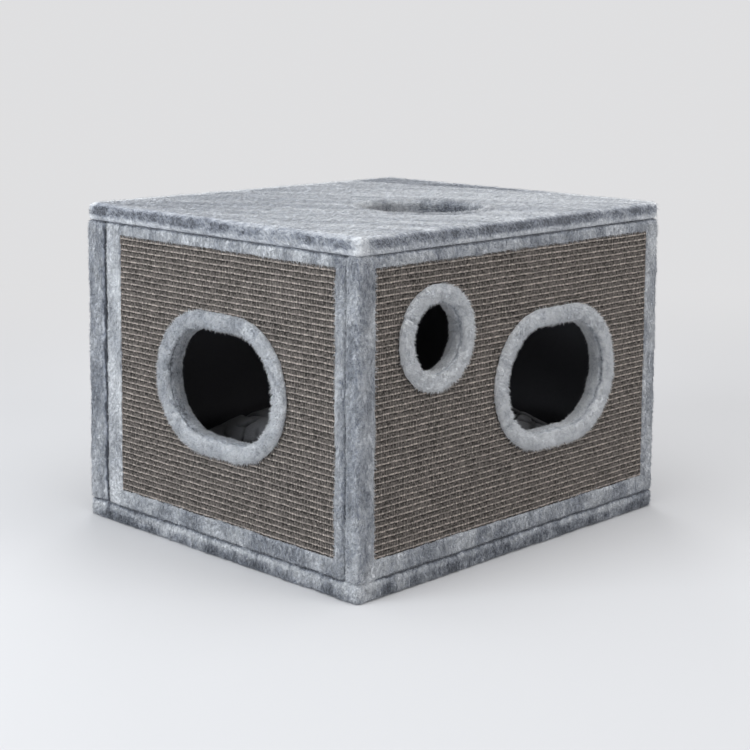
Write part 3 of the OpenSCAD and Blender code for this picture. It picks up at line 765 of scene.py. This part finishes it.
def wrap_wall(name, axis, side, turned_in, strip_lightness):
    """A panel's cover. turned_in is how far the plush runs over the inner face. The last argument gives how
    light the nap is on the strips before and beyond the mat, below it, above it and on the panel's own
    ends; on a side wall's far end it is a painted highlight along the rounded edge."""
    low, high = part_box(name + "_plush")
    panel = soft_block(name + "_wrap", low, high, axis, 0)
    mat_low, mat_high = cut_window(panel, name + "_sisal", axis, side)
    even_skin(panel, SKIN_GRID)
    lay_flat(panel)
    outer = high[axis] if side > 0 else low[axis]
    inner = low[axis] if side > 0 else high[axis]
    cross = 1 - axis

    def hidden(x, y, z):
        depth = (outer - (x, y)[axis]) * side
        across = (x, y)[cross]
        window = (
            (across > mat_low[cross]) & (across < mat_high[cross]) & (z > mat_low.z) & (z < mat_high.z)
        )
        through = abs(outer - inner)
        inside = (
            (across > low[cross] + turned_in) & (across < high[cross] - turned_in)
            & (z > low.z + turned_in) & (z < high.z - turned_in)
        )
        return (window & (depth > WINDOW_DEPTH * 0.7) & (depth < through / 2)) | (
            inside & (depth > through / 2)
        )

    cut_away(panel, hidden)
    crumple(panel, 0.0026)
    neighbours = (low.y, high.y) if axis == 0 else sorted((inner, outer + side * PILE_ROOM))
    press(panel, 2, low.z, high.z)
    press(panel, 1, *neighbours)

    def tuft(x, y, z):
        """1 where the pile closes over the front's seams, at two of its corners."""
        if name != "front":
            return np.zeros(len(x))
        far_tuft = ramp(x, high.x - FAR_TUFT_FROM, high.x - FAR_TUFT_FULL) * (z > mat_high.z)
        return np.maximum(near_tuft(x, y), far_tuft)

    def unseen(x, y, z):
        depth = (outer - (x, y)[axis]) * side
        across = (x, y)[cross]
        ends = np.minimum(across - low[cross], high[cross] - across)
        margin = np.where((name == "front") & (ends < END_STRIP), RIDGE_BARE, INSIDE_BARE)
        return (
            (depth > abs(outer - inner) - margin)
            | ((np.minimum(z - low.z, high.z - z) < SEAM_BARE) & (tuft(x, y, z) < 0.5))
            | ((high[cross] - across < SEAM_BARE) & (axis == 0))
        )

    def nap_and_painted_light(x, y, z):
        across = (x, y)[cross]
        lean = CORNER_LEAN * np.maximum(mat_low.z - z, 0)
        before, beyond = across < mat_low[cross] + lean, across > mat_high[cross] - lean
        strip = np.select([before, beyond, z < mat_low.z, z > mat_high.z], strip_lightness[:4], 0)
        ends = np.minimum(across - low[cross], high[cross] - across)
        strip = np.where(ends < END_STRIP, strip_lightness[4], strip)
        depth = (outer - (x, y)[axis]) * side
        edge = np.minimum(z - low.z, high.z - z)
        closed = tuft(x, y, z)
        # Painted shade darkens the seams along the top and bottom edges, except where the pile closes over
        # them.
        seam = SEAM_SHADE * ramp(edge, EDGE_SEAM_FROM, EDGE_SEAM_FULL)
        shade = seam * (1 - closed) - 0.15 * closed * (z < mat_low.z)
        inner_edge = abs(outer - inner) - depth
        # The front's ends get a painted highlight on their inner ridge; the back gets painted shade in its
        # seams with the side panels, and a side panel gets painted shade in its seams with the front and
        # back, faint at the front.
        if name == "front":
            shade -= RIDGE_HIGHLIGHT * ramp(inner_edge, RIDGE_FROM, RIDGE_FULL) * (ends < END_STRIP)
        elif axis == 1:
            shade = np.maximum(shade, SEAM_SHADE * ramp(inner_edge, EDGE_SEAM_FROM, EDGE_SEAM_FULL))
        else:
            near = across - low[cross] < END_STRIP
            end_seam = SEAM_SHADE * ramp(ends, EDGE_SEAM_FROM, EDGE_SEAM_FULL)
            shade = np.maximum(shade, end_seam * np.where(near, 0.25, 1))
            strip = np.where(near, strip_lightness[0] - 0.05, strip)
        return strip - shade

    brush(panel, nap_and_painted_light)
    plant_pile(
        panel, unseen, per_m2=300000, nap=(0, 0, -0.25), swirl=2.4, swirl_scale=40, rise=0.24,
        length=1.0, seed=20 + axis * 2 + side,
    )
    press(panel, 2, low.z, high.z)
    press(panel, 1, *neighbours)
    dress(panel, wall_nap, "plush", "house", name + "_plush")


# On the left and right walls the last value lights the far end as a painted highlight along its rounded
# edge.
wrap_wall("front", 1, -1, FRONT_TURN_IN, (0.0, 0.14, -0.02, -0.01, -0.03))
wrap_wall("back", 1, 1, FRONT_TURN_IN, (0.1, 0.0, 0.0, 0.1, -0.05))
wrap_wall("left", 0, -1, SIDE_TURN_IN, (0.05, 0.40, 0.02, 0.17, 0.45))
wrap_wall("right", 0, 1, SIDE_TURN_IN, (0.05, 0.2, 0.0, 0.1, 0.3))


# Mats: bouclé sisal, woven so that each rib is a row of small loops standing side by side.
# One loop is modelled and repeated along the rib and up the wall, then cut for the entrances.
LOOP_W, RIB_H = 0.0029, 0.00755
LOOP_ROWS = (0.0010, 0.0002, 0.0016, 0.0005, 0.0012, 0.0010)
LOOP_GAPS = (0.0000, 0.0000, 0.0004, 0.0001, 0.0000, 0.0000)
COLLAR_W = 0.025
MAT_UNDER_COLLAR = 0.008
MAT_SUNK = 0.001
MAP_MARGIN = 0.01
MERGE = 1e-5
# Sisal colours: the ground between the loops is painted near black as shade in the gaps, with a painted
# shadow below each rib's thread; the thread is light yarn, painted lighter still as a highlight along its
# crest.
SISAL_LIGHT = (0.58, 0.505, 0.45, 1)
SISAL_MID = (0.188, 0.167, 0.152, 1)
SISAL_GAP_SHADE = (0.010, 0.009, 0.008, 1)
THREAD_AT, THREAD_HALF, SHADOW_AT = 0.4, 0.17, 0.18

sisal, tree, shader = new_material("sisal", {"Roughness": 0.9, "Specular IOR Level": 0.2})
place = place_on(tree)
loop_uv = put(
    tree, "ShaderNodeSeparateXYZ",
    {"Vector": put(tree, "ShaderNodeUVMap", {}, uv_map="loops").outputs["UV"]},
)
off_loop = distance_from(tree, loop_uv.outputs["X"], 0.5)
on_loop = share_of(tree, off_loop, 0.42, 0.12, "SMOOTHSTEP")
off_thread = distance_from(tree, loop_uv.outputs["Y"], THREAD_AT)
on_thread = share_of(tree, off_thread, THREAD_HALF, THREAD_HALF * 0.55, "SMOOTHSTEP")
off_shadow = distance_from(tree, loop_uv.outputs["Y"], SHADOW_AT)
shadow_row = share_of(tree, off_shadow, 0.14, 0.04, "SMOOTHSTEP")
yarn_share = share_of(tree, cloudy(tree, place, 310, 2, Roughness=0.6), 0.38, 0.62)
bleach_share = share_of(tree, cloudy(tree, place, 30, 3), 0.3, 0.7)
beads = reckon(tree, "MULTIPLY", on_loop, yarn_share)
# Lighter on the loops, with painted shade in the gaps between them and a painted shadow below the thread.
ground_tone_and_shade = sums(tree, (1.0, 0.1), (beads, 1.3), (bleach_share, 0.16), (shadow_row, -0.5))
ground = colour_mix(tree, ground_tone_and_shade, SISAL_GAP_SHADE, SISAL_MID)
ply_share = share_of(tree, cloudy(tree, place, 190, 1), 0.44, 0.60)
shown = reckon(tree, "MULTIPLY", beads, ply_share)
# The thread's own specks, lifted by a painted highlight along its crest.
thread_tone_and_highlight = sums(tree, (beads, 0.55), (shown, 1.6), (bleach_share, 0.2), (1.0, -0.14))
thread = colour_mix(tree, thread_tone_and_highlight, SISAL_MID, SISAL_LIGHT)
tint(tree, shader, on_thread, ground, thread)
emboss(tree, shader, cloudy(tree, place, 1500, 2), 0.5, 0.0008)


def out_from(x, z, collar_node, axis):
    """How far out points of a wall lie from the clear opening of a collar."""
    low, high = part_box(collar_node)
    cross = 1 - axis
    half_w, half_h = (high[cross] - low[cross]) / 2, (high.z - low.z) / 2
    beyond = np.maximum(abs(x - (low[cross] + high[cross]) / 2) - (half_w - half_h), 0)
    return np.hypot(beyond, z - (low.z + high.z) / 2) - (half_h - COLLAR_W)


def weave_mat(name, axis, side, turn, *collars):
    """Weaves a wall's mat, cuts it back under the collars and closes it down to the board."""
    low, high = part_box(name + "_sisal")
    cross = 1 - axis
    width, height = high[cross] - low[cross], high.z - low.z
    loops, ribs = round(width / LOOP_W), round(height / RIB_H)
    rows = len(LOOP_ROWS) - 1
    bpy.ops.object.select_all(action="DESELECT")
    bpy.ops.mesh.primitive_grid_add(x_subdivisions=2, y_subdivisions=rows, size=1)
    mat = bpy.context.object
    mat.name = name + "_mat"
    mat.data.uv_layers[0].name = "loops"
    mat.scale = (width / loops, height / ribs, 1)
    bpy.ops.object.transform_apply()
    for point in mat.data.vertices:
        row = round((point.co.y / (height / ribs) + 0.5) * rows)
        point.co.z = LOOP_ROWS[row] if abs(point.co.x) < LOOP_W / 4 else LOOP_GAPS[row]
    for count, step in ((loops, (1, 0, 0)), (ribs, (0, 1, 0))):
        apply_modifier(
            mat, "ARRAY", count=count, use_relative_offset=True, relative_offset_displace=step,
            use_merge_vertices=True, merge_threshold=MERGE,
        )
    outer = high[axis] if side > 0 else low[axis]
    back = low[axis] if side > 0 else high[axis]
    middle = (low + high) / 2
    points = points_of(mat)
    points[:, :2] -= (points[:, :2].min(0) + points[:, :2].max(0)) / 2
    move_points(mat, points)
    middle[axis] = outer - side * MAT_SUNK
    mat.location = middle
    mat.rotation_euler = (math.pi / 2, 0, turn)
    only(mat)
    bpy.ops.object.transform_apply()
    for collar in collars:
        cut_away(mat, lambda x, y, z: out_from((x, y)[cross], z, collar, axis) < MAT_UNDER_COLLAR)
    ruffle(mat, size=0.030, height=0.0012, direction="RGB_TO_XYZ", kind="COLOR")
    ruffle(mat, size=0.004, height=0.0011, depth=1, direction="RGB_TO_XYZ", kind="COLOR")
    bpy.ops.object.mode_set(mode="EDIT")
    bpy.ops.mesh.select_mode(type="EDGE")
    bpy.ops.mesh.select_all(action="DESELECT")
    bpy.ops.mesh.select_non_manifold()
    inwards = Vector((0, 0, 0))
    inwards[axis] = -side * MAT_SUNK
    bpy.ops.mesh.extrude_region_move(TRANSFORM_OT_translate={"value": inwards})
    flat = Vector((1, 1, 1))
    flat[axis] = 0
    board = Vector((0, 0, 0))
    board[axis] = back
    bpy.ops.transform.resize(value=flat, center_override=board)
    bpy.ops.mesh.fill()
    bpy.ops.mesh.select_all(action="SELECT")
    bpy.ops.mesh.normals_make_consistent(inside=False)
    bpy.ops.object.mode_set(mode="OBJECT")
    points = points_of(mat)
    flat_points = np.stack(
        [(points[:, cross] - low[cross]) / width, (points[:, 2] - low.z) / height], 1
    )
    corners = np.empty(len(mat.data.loops), int)
    mat.data.loops.foreach_get("vertex_index", corners)
    flat_map = mat.data.uv_layers.new(name=FLAT_MAP)
    flat_points = MAP_MARGIN + (1 - 2 * MAP_MARGIN) * flat_points
    flat_map.uv.foreach_set("vector", flat_points[corners].ravel())
    dress(mat, sisal, "sisal", "house", name + "_sisal")


weave_mat("front", 1, -1, 0, "front_oval_collar", "lookout_collar")
weave_mat("back", 1, 1, math.pi)
weave_mat("left", 0, -1, -math.pi / 2, "left_oval_collar")
weave_mat("right", 0, 1, math.pi / 2)


# Sleeves and collars: a plush tube lines each entrance through the board, with a lip glued inside.
# Round its mouth lies a collar, a foam roll in lighter plush whose strip ends meet in a butt joint.
RING_GRID, RING_MID = 0.0028, 0.012
RING_PILE = 0.0015
SLEEVE_T, SLEEVE_LIP = 0.004, 0.010
LIP_FRONT, LIP_BACK = -0.020, -0.022
CROWN_STEPS, FLAT_STEPS = 18, 6
COLLAR_RISE = 0.009
JOINT_HALF, JOINT_PINCH = 0.002, 0.55
COLLAR_TOP_SHADE = 0.16
MOUTH_W = 0.006
COLLAR_ROOTS = (0.42, 0.445, 0.49, 1)
collar_nap = plush("collar_plush", (1, 1, 1), patch_scale=90, patch_weight=0.55, roots=COLLAR_ROOTS)
sleeve_nap = plush("sleeve_plush", (1, 1, 1), patch_scale=60, patch_weight=0.6, roots=COLLAR_ROOTS)


def put_in_order(piece):
    """Numbers a mesh's points and faces by their place, so that every run plants the same pile."""
    points = points_of(piece)
    order = np.lexsort(points.round(6).T)
    number = np.empty(len(points), int)
    number[order] = np.arange(len(points))
    faces = []
    for face in piece.data.polygons:
        corners = [int(number[corner]) for corner in face.vertices]
        first = corners.index(min(corners))
        faces.append(corners[first:] + corners[:first])
    piece.data.clear_geometry()
    piece.data.from_pydata(points[order].tolist(), [], sorted(faces))


def lathe(name, section, inner_r, straight):
    """Spins a closed section, given as (out from the opening, depth), round an entrance's middle,
    and draws the ring out into an oval by the straight length."""
    steps = 4 * round(2 * math.pi * (inner_r + RING_MID) / RING_GRID / 4)
    start = math.pi / steps
    bpy.ops.object.select_all(action="DESELECT")
    bpy.ops.mesh.primitive_plane_add(size=0.001)
    ring = bpy.context.object
    ring.name = name
    bpy.ops.object.mode_set(mode="EDIT")
    bpy.ops.mesh.select_mode(type="VERT")
    bpy.ops.mesh.select_all(action="SELECT")
    bpy.ops.mesh.merge(type="CENTER")
    place = Vector((0, 0, 0))
    for out, depth in section + section[:1]:
        reach = inner_r + out
        target = Vector((reach * math.cos(start), reach * math.sin(start), depth))
        if place.length == 0:
            bpy.ops.transform.translate(value=target)
        else:
            bpy.ops.mesh.extrude_region_move(TRANSFORM_OT_translate={"value": target - place})
        place = target
    bpy.ops.mesh.select_all(action="SELECT")
    bpy.ops.mesh.spin(steps=steps, angle=2 * math.pi, center=(0, 0, 0), axis=(0, 0, 1))
    bpy.ops.mesh.select_all(action="SELECT")
    bpy.ops.mesh.remove_doubles(threshold=MERGE)
    bpy.ops.mesh.normals_make_consistent(inside=False)
    bpy.ops.object.mode_set(mode="OBJECT")
    if straight > 0:
        points = points_of(ring)
        halves = np.sign(points[:, 0])
        points[:, 0] += halves * straight / 2
        move_points(ring, points)
        ends = np.empty(len(ring.data.edges) * 2, int)
        ring.data.edges.foreach_get("vertices", ends)
        across = halves[ends.reshape(-1, 2)].sum(1) == 0
        edit_only(ring, "EDGE", across)
        bpy.ops.mesh.subdivide(number_cuts=round(straight / RING_GRID))
        bpy.ops.object.mode_set(mode="OBJECT")
    put_in_order(ring)
    return ring


def stepped(corners):
    """A closed section with points about a grid apart along its sides."""
    section = []
    for (a, b), (c, d) in zip(corners, corners[1:] + corners[:1]):
        count = max(1, round(math.hypot(c - a, d - b) / RING_GRID))
        section += [(a + (c - a) * i / count, b + (d - b) * i / count) for i in range(count)]
    return section


def stand_on_wall(ring, node, axis, wall, turn):
    """Moves a ring to the outer face of its wall, round the middle of its collar's node."""
    low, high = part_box(node)
    middle = (low + high) / 2
    middle[axis] = wall
    ring.location = middle
    ring.rotation_euler = (math.pi / 2, 0, turn)
    only(ring)
    bpy.ops.object.transform_apply()


def butt_joint(ring, node, axis, wall, angle):
    """Pinches a collar where the two ends of its strip meet; gives how near each point is to the joint."""
    low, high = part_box(node)
    cross = 1 - axis
    middle = (low + high) / 2
    half_w, half_h = (high[cross] - low[cross]) / 2, (high.z - low.z) / 2
    rightward, upward = math.cos(angle), math.sin(angle)
    reach = half_h - COLLAR_W / 2
    joint_across = middle[cross] + rightward * reach + math.copysign(half_w - half_h, rightward)
    joint_z = middle.z + upward * reach
    points = points_of(ring)
    across, up = points[:, cross] - joint_across, points[:, 2] - joint_z
    along = up * rightward - across * upward
    nearness = np.exp(-((along / JOINT_HALF) ** 2)) * (np.hypot(across, up) < COLLAR_W)
    points[:, axis] += (wall - points[:, axis]) * JOINT_PINCH * nearness
    move_points(ring, points)
    return nearness


roll_w, roll_h = COLLAR_W - 2 * RING_PILE, COLLAR_RISE - RING_PILE
crown = [
    (
        roll_w / 2 * (1 - math.cos(math.pi * i / CROWN_STEPS)),
        roll_h * math.sin(math.pi * i / CROWN_STEPS) ** 0.8,
    )
    for i in range(CROWN_STEPS)
]
collar_section = crown + [(roll_w * (1 - i / FLAT_STEPS), 0) for i in range(FLAT_STEPS)]
collar_section = [(out + RING_PILE, depth - 0.001) for out, depth in collar_section]
sleeve_section = stepped([
    (SLEEVE_T, -0.001), (0.0024, -0.001), (0.0012, -0.003), (0.0012, -0.012), (0.0030, -0.0205),
    (0.0042, LIP_BACK), (SLEEVE_T + SLEEVE_LIP, LIP_BACK), (SLEEVE_T + SLEEVE_LIP, LIP_FRONT),
    (SLEEVE_T + 0.0004, LIP_FRONT), (SLEEVE_T, -0.019),
])
# Each entrance: panel, axis, side, turn and the angle of its collar's joint; its lightness, partly painted
# light, as the front collars are painted lighter than the left one to match how they are lit; a tilt of
# lightness across it; painted shade that darkens its sleeve; and the strength of painted shade in the
# crease where collar meets sleeve.
for entrance, panel, axis, side, turn, joint_at, lightness, tilt, shade, crease in (
    ("front_oval", "front", 1, -1, 0, 215, 0.48, 0.0, 0.0, 0.6),
    ("lookout", "front", 1, -1, 0, 150, 0.48, 0.0, -0.06, 0.5),
    ("left_oval", "left", 0, -1, -math.pi / 2, 235, 0.19, -0.12, 0.23, 0.3),
):
    node = entrance + "_collar"
    low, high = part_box(node)
    cross = 1 - axis
    half_w, half_h = (high[cross] - low[cross]) / 2, (high.z - low.z) / 2
    inner_r, straight = half_h - COLLAR_W, 2 * (half_w - half_h)
    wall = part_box(panel + "_plush")[0][axis]

    def height(x, y):
        return ((x, y)[axis] - wall) * side

    sleeve = lathe(entrance + "_sleeve_ring", sleeve_section, inner_r, straight)
    stand_on_wall(sleeve, node, axis, wall, turn)
    lay_flat(sleeve)
    ruffle(sleeve, size=0.011, height=0.0028)
    # The sleeve: its lightness less its painted shade, with painted shade in the crease below the collar
    # and a painted highlight along its inner end.
    brush(
        sleeve,
        lambda x, y, z: lightness - shade - crease * ramp(height(x, y), -0.004, -0.002)
        + 0.3 * ramp(height(x, y), -0.015, -0.019),
    )
    plant_pile(
        sleeve, lambda x, y, z: height(x, y) > -0.002, per_m2=400000, nap=(0, 0, -0.3), swirl=2.4,
        swirl_scale=60, rise=0.6, length=0.6, seed=40, skin_t=0,
    )
    dress(sleeve, sleeve_nap, "plush", "house", entrance + "_sleeve")

    collar = lathe(entrance + "_collar_ring", collar_section, inner_r, straight)
    stand_on_wall(collar, node, axis, wall, turn)
    lay_flat(collar)
    ruffle(collar, size=0.022, height=0.0018)
    ruffle(collar, size=0.007, height=0.0024)
    nearness = butt_joint(collar, node, axis, wall, math.radians(joint_at))

    def at_mouth(x, y, z):
        return out_from((x, y)[cross], z, node, axis) < MOUTH_W

    def collar_nap_and_shade(x, y, z):
        sideways = ((x, y)[cross] - (low + high)[cross] / 2) / half_w
        upwards = (z - (low.z + high.z) / 2) / half_h
        folded = ramp(height(x, y), 0.0035, 0.0015) * at_mouth(x, y, z)
        # Painted shade darkens each collar towards its top and in the crease at its mouth; the joint is
        # darker too.
        return lightness + tilt * sideways - COLLAR_TOP_SHADE * upwards - 0.5 * nearness - crease * folded

    brush(collar, collar_nap_and_shade)
    plant_pile(
        collar,
        lambda x, y, z: (height(x, y) < 0.0003) | ((height(x, y) < 0.0025) & at_mouth(x, y, z)),
        per_m2=450000, nap=(0, 0, -0.3), swirl=2.4, swirl_scale=60, rise=0.9, length=0.85, seed=40,
        skin_t=0,
    )
    dress(collar, collar_nap, "collar_plush", "house", node)


# Top wrap: one sheet of plush over the top board, turned under its edges, with the nap brushed
# across it. A plush rim and sleeve finish the round hatch.
RIM_OVERLAP, CUTTER_SIDES = 0.0015, 96
PILE_HANG = 0.0025
NAP_TURNS, NAP_SLANT = 0.256, 0.25
CORNER_FROM, CORNER_FULL = 0.020, 0.007
EDGE_HIGHLIGHT_FROM, EDGE_HIGHLIGHT_FULL = 0.018, 0.012
TOP_NET_SHARE = 0.35
HATCH_RIM, HATCH_MOUTH = 0.014, 0.006
RIM_T, MOUTH_STEPS = 0.004, 6
top_nap = plush(
    "top_plush", (0.10, 1, 1), patch_scale=30, patch_weight=0.3, turn=math.radians(62),
    band=(0.4295, 0.0095),
)
low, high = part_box("top_plush")
ceiling_low, ceiling_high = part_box("ceiling_lining")
rim_low, rim_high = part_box("hatch_sleeve")
hatch_middle = (rim_low + rim_high) / 2
rim_r = (rim_high.x - rim_low.x) / 2
top_wrap = soft_block("top_wrap", low, high - Vector((0, 0, PILE_H)), 2, PLUSH_CORNER)
bpy.ops.object.select_all(action="DESELECT")
bpy.ops.mesh.primitive_cylinder_add(
    vertices=CUTTER_SIDES, radius=rim_r - RIM_OVERLAP, depth=4 * (high.z - low.z), location=hatch_middle
)
cutter = bpy.context.object
apply_modifier(top_wrap, "BOOLEAN", object=cutter, operation="DIFFERENCE", solver="EXACT")
bpy.data.objects.remove(cutter)
even_skin(top_wrap, SKIN_GRID)
lay_flat(top_wrap)
top_middle_z = (low.z + high.z) / 2
cut_away(
    top_wrap,
    lambda x, y, z: (
        (z < top_middle_z) & (abs(x) < ceiling_high.x) & (y > ceiling_low.y) & (y < ceiling_high.y)
    ),
)
crumple(top_wrap, 0.0012)
apply_modifier(top_wrap, "DECIMATE", ratio=TOP_NET_SHARE)
press(top_wrap, 2, low.z, 1)


def corner_share(value, start, end):
    return ramp(np.minimum(value - start, end - value), CORNER_FROM, CORNER_FULL)


def far_edge(value, end):
    return ramp(value, end - EDGE_HIGHLIGHT_FROM, end - EDGE_HIGHLIGHT_FULL)


def top_nap_and_light(x, y, z):
    """Light along its lower edge and at its corners. Its upper face has painted light that grows to the
    right, a dark wedge where the nap turns and a painted highlight along the far edges."""
    lower_edge = 0.22 * ramp(z, low.z + 0.012, low.z + 0.006)
    corner = 0.36 * corner_share(x, low.x, high.x) * corner_share(y, low.y, high.y)
    # Painted light: the upper face grows lighter to the right.
    face = 0.18 * ramp(x - y, -0.35, 0.1) - 0.05
    wedge = 0.5 * ramp(x + NAP_SLANT * y, NAP_TURNS, NAP_TURNS + 0.02)
    # Painted highlight along the far edges, where their crown catches the light.
    edge_highlight = 0.7 * np.maximum(far_edge(x, high.x), far_edge(y, high.y))
    return lower_edge + corner + ramp(z, high.z - 0.005, high.z - 0.002) * (face - wedge + edge_highlight)


brush(top_wrap, top_nap_and_light)
plant_pile(
    top_wrap, lambda x, y, z: z < low.z + INSIDE_BARE, per_m2=86000, nap=(0.55, -0.9, -0.7), swirl=0.6,
    swirl_scale=30, rise=0.14, length=1.4, seed=31,
)
press(top_wrap, 2, low.z - PILE_HANG, 1)
dress(top_wrap, top_nap, "plush", "house", "top_plush")

hatch_r = rim_r - HATCH_RIM
turns = [math.pi / 2 * i / MOUTH_STEPS for i in range(MOUTH_STEPS + 1)]
mouth = [(HATCH_MOUTH * (1 - math.sin(turn)), HATCH_MOUTH * (math.cos(turn) - 1)) for turn in turns]
rim_section = stepped(mouth + [
    (0, LIP_BACK), (HATCH_RIM, LIP_BACK), (HATCH_RIM, LIP_FRONT), (SLEEVE_T, LIP_FRONT),
    (SLEEVE_T, -RIM_T), (HATCH_RIM, -RIM_T), (HATCH_RIM, -0.001), (HATCH_RIM - 0.002, 0),
])
hatch_ring = lathe("hatch_ring", rim_section, hatch_r, 0)
hatch_ring.location = (hatch_middle.x, hatch_middle.y, high.z)
only(hatch_ring)
bpy.ops.object.transform_apply()
lay_flat(hatch_ring)
ruffle(hatch_ring, size=0.022, height=0.0018)
# Painted shade darkens the plush deeper down the hatch.
brush(hatch_ring, lambda x, y, z: 0.05 - 0.2 * ramp(z, high.z - 0.004, high.z - 0.010))


def behind_rim(x, y, z):
    """Where the rim lies on the board and needs no pile."""
    out = np.hypot(x - hatch_middle.x, y - hatch_middle.y) - hatch_r
    return (out > 0.0035) & (z < high.z - 0.0035) & (z > high.z - 0.0195)


plant_pile(
    hatch_ring, behind_rim, per_m2=400000, nap=(0.55, -0.9, 0), swirl=1.2, swirl_scale=45, rise=0.5,
    length=0.8, seed=50, skin_t=0,
)
dress(hatch_ring, wall_nap, "plush", "house", "hatch_sleeve")
bpy.data.objects.remove(lock)


# Cushion: a loose pillow of charcoal fleece, two sheets sewn together and stuffed, so that its
# sides draw in between the corners and its top is crowned and wrinkled.
CUSHION_SHRINK = 0.985
CUSHION_GRID = 0.005
CUSHION_CAP = 0.012
CUSHION_COLOURS = ((0.012, 0.012, 0.013, 1), (0.30, 0.30, 0.315, 1))
CUSHION_PRESSURE, CUSHION_MOMENTS = 4, 20
WRINKLE_W, WRINKLE_DEPTH = 0.09, 0.008
SWAY, SWAY_SIZE = 0.02, 0.05
BILLOW, BILLOW_SIZE = 0.004, 0.045
PATCH_SIZE = 0.06
low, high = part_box("cushion")
middle = (low + high) / 2
cushion = bpy.data.objects.new("cushion_pillow", frame["nodes"]["cushion"].data.copy())
scene.collection.objects.link(cushion)
only(cushion)
bpy.ops.object.mode_set(mode="EDIT")
bpy.ops.mesh.select_all(action="SELECT")
bpy.ops.mesh.remove_doubles(threshold=MERGE)
bpy.ops.transform.resize(
    value=(CUSHION_SHRINK, CUSHION_SHRINK, CUSHION_SHRINK), center_override=(middle.x, middle.y, low.z)
)
bpy.ops.object.mode_set(mode="OBJECT")
cushion.data.remesh_voxel_size = CUSHION_GRID
bpy.ops.object.voxel_remesh()
start = points_of(cushion)
cloth = cushion.modifiers.new("cloth", "CLOTH")
cloth.settings.use_pressure = True
cloth.settings.uniform_pressure_force = CUSHION_PRESSURE
cloth.settings.effector_weights.gravity = 0
for moment in range(1, CUSHION_MOMENTS + 1):
    scene.frame_set(moment)
bpy.ops.object.modifier_apply(modifier=cloth.name)
scene.frame_set(1)
moved = points_of(cushion) - start
lengths = np.linalg.norm(moved, axis=1, keepdims=True)
moved *= np.minimum(1, CUSHION_CAP / np.maximum(lengths, 1e-9))
move_points(cushion, start + moved)
apply_modifier(cushion, "SUBSURF", levels=1, render_levels=1)
smooth = points_of(cushion)
normals = np.empty(len(smooth) * 3)
cushion.data.vertices.foreach_get("normal", normals)
normals = normals.reshape(-1, 3)
swayed = smooth + SWAY * np.stack([wander(smooth + shift, SWAY_SIZE) for shift in (0.3, 0.6, 0.9)], 1)
wrinkles = np.zeros(len(smooth))
for size, depth in ((0.050, 1.0), (0.026, 0.6)):
    patchy = ramp(wander(smooth + size, PATCH_SIZE), -0.25, 0.25)
    wrinkles += depth * patchy * np.exp(-((wander(swayed, size) / WRINKLE_W) ** 2))
billow = BILLOW + wander(smooth + 1.0, BILLOW_SIZE) * BILLOW
points = smooth + normals * (billow - WRINKLE_DEPTH * wrinkles)[:, None]
# Painted shade: the fleece is darker along the wrinkles, where this value falls towards 0.
fold = cushion.data.attributes.new("fold", "FLOAT", "POINT")
fold.data.foreach_set("value", 1 - np.clip(wrinkles, 0, 1))
points[:, 2] = np.maximum(points[:, 2], low.z)
move_points(cushion, points)
fleece, tree, shader = new_material(
    "charcoal_fleece",
    {"Roughness": 0.95, "Specular IOR Level": 0.2, "Sheen Weight": 0.25, "Sheen Roughness": 0.5},
)
place = place_on(tree)
curls = cloudy(tree, place, 520, 4, Roughness=0.65, Distortion=0.8)
wear = cloudy(tree, place, 40, 3)
fold = put(tree, "ShaderNodeAttribute", {}, attribute_name="fold").outputs["Fac"]
# Curls, wear and painted shade along the wrinkles.
fleece_light = sums(tree, (curls, 0.55), (wear, 0.4), (fold, 1.0), (1.0, -0.83))
tint(tree, shader, fleece_light, *CUSHION_COLOURS)
emboss(tree, shader, curls, 0.6, 0.0015)
dress(cushion, fleece, "cushion_cloth", "cushion", "cushion")
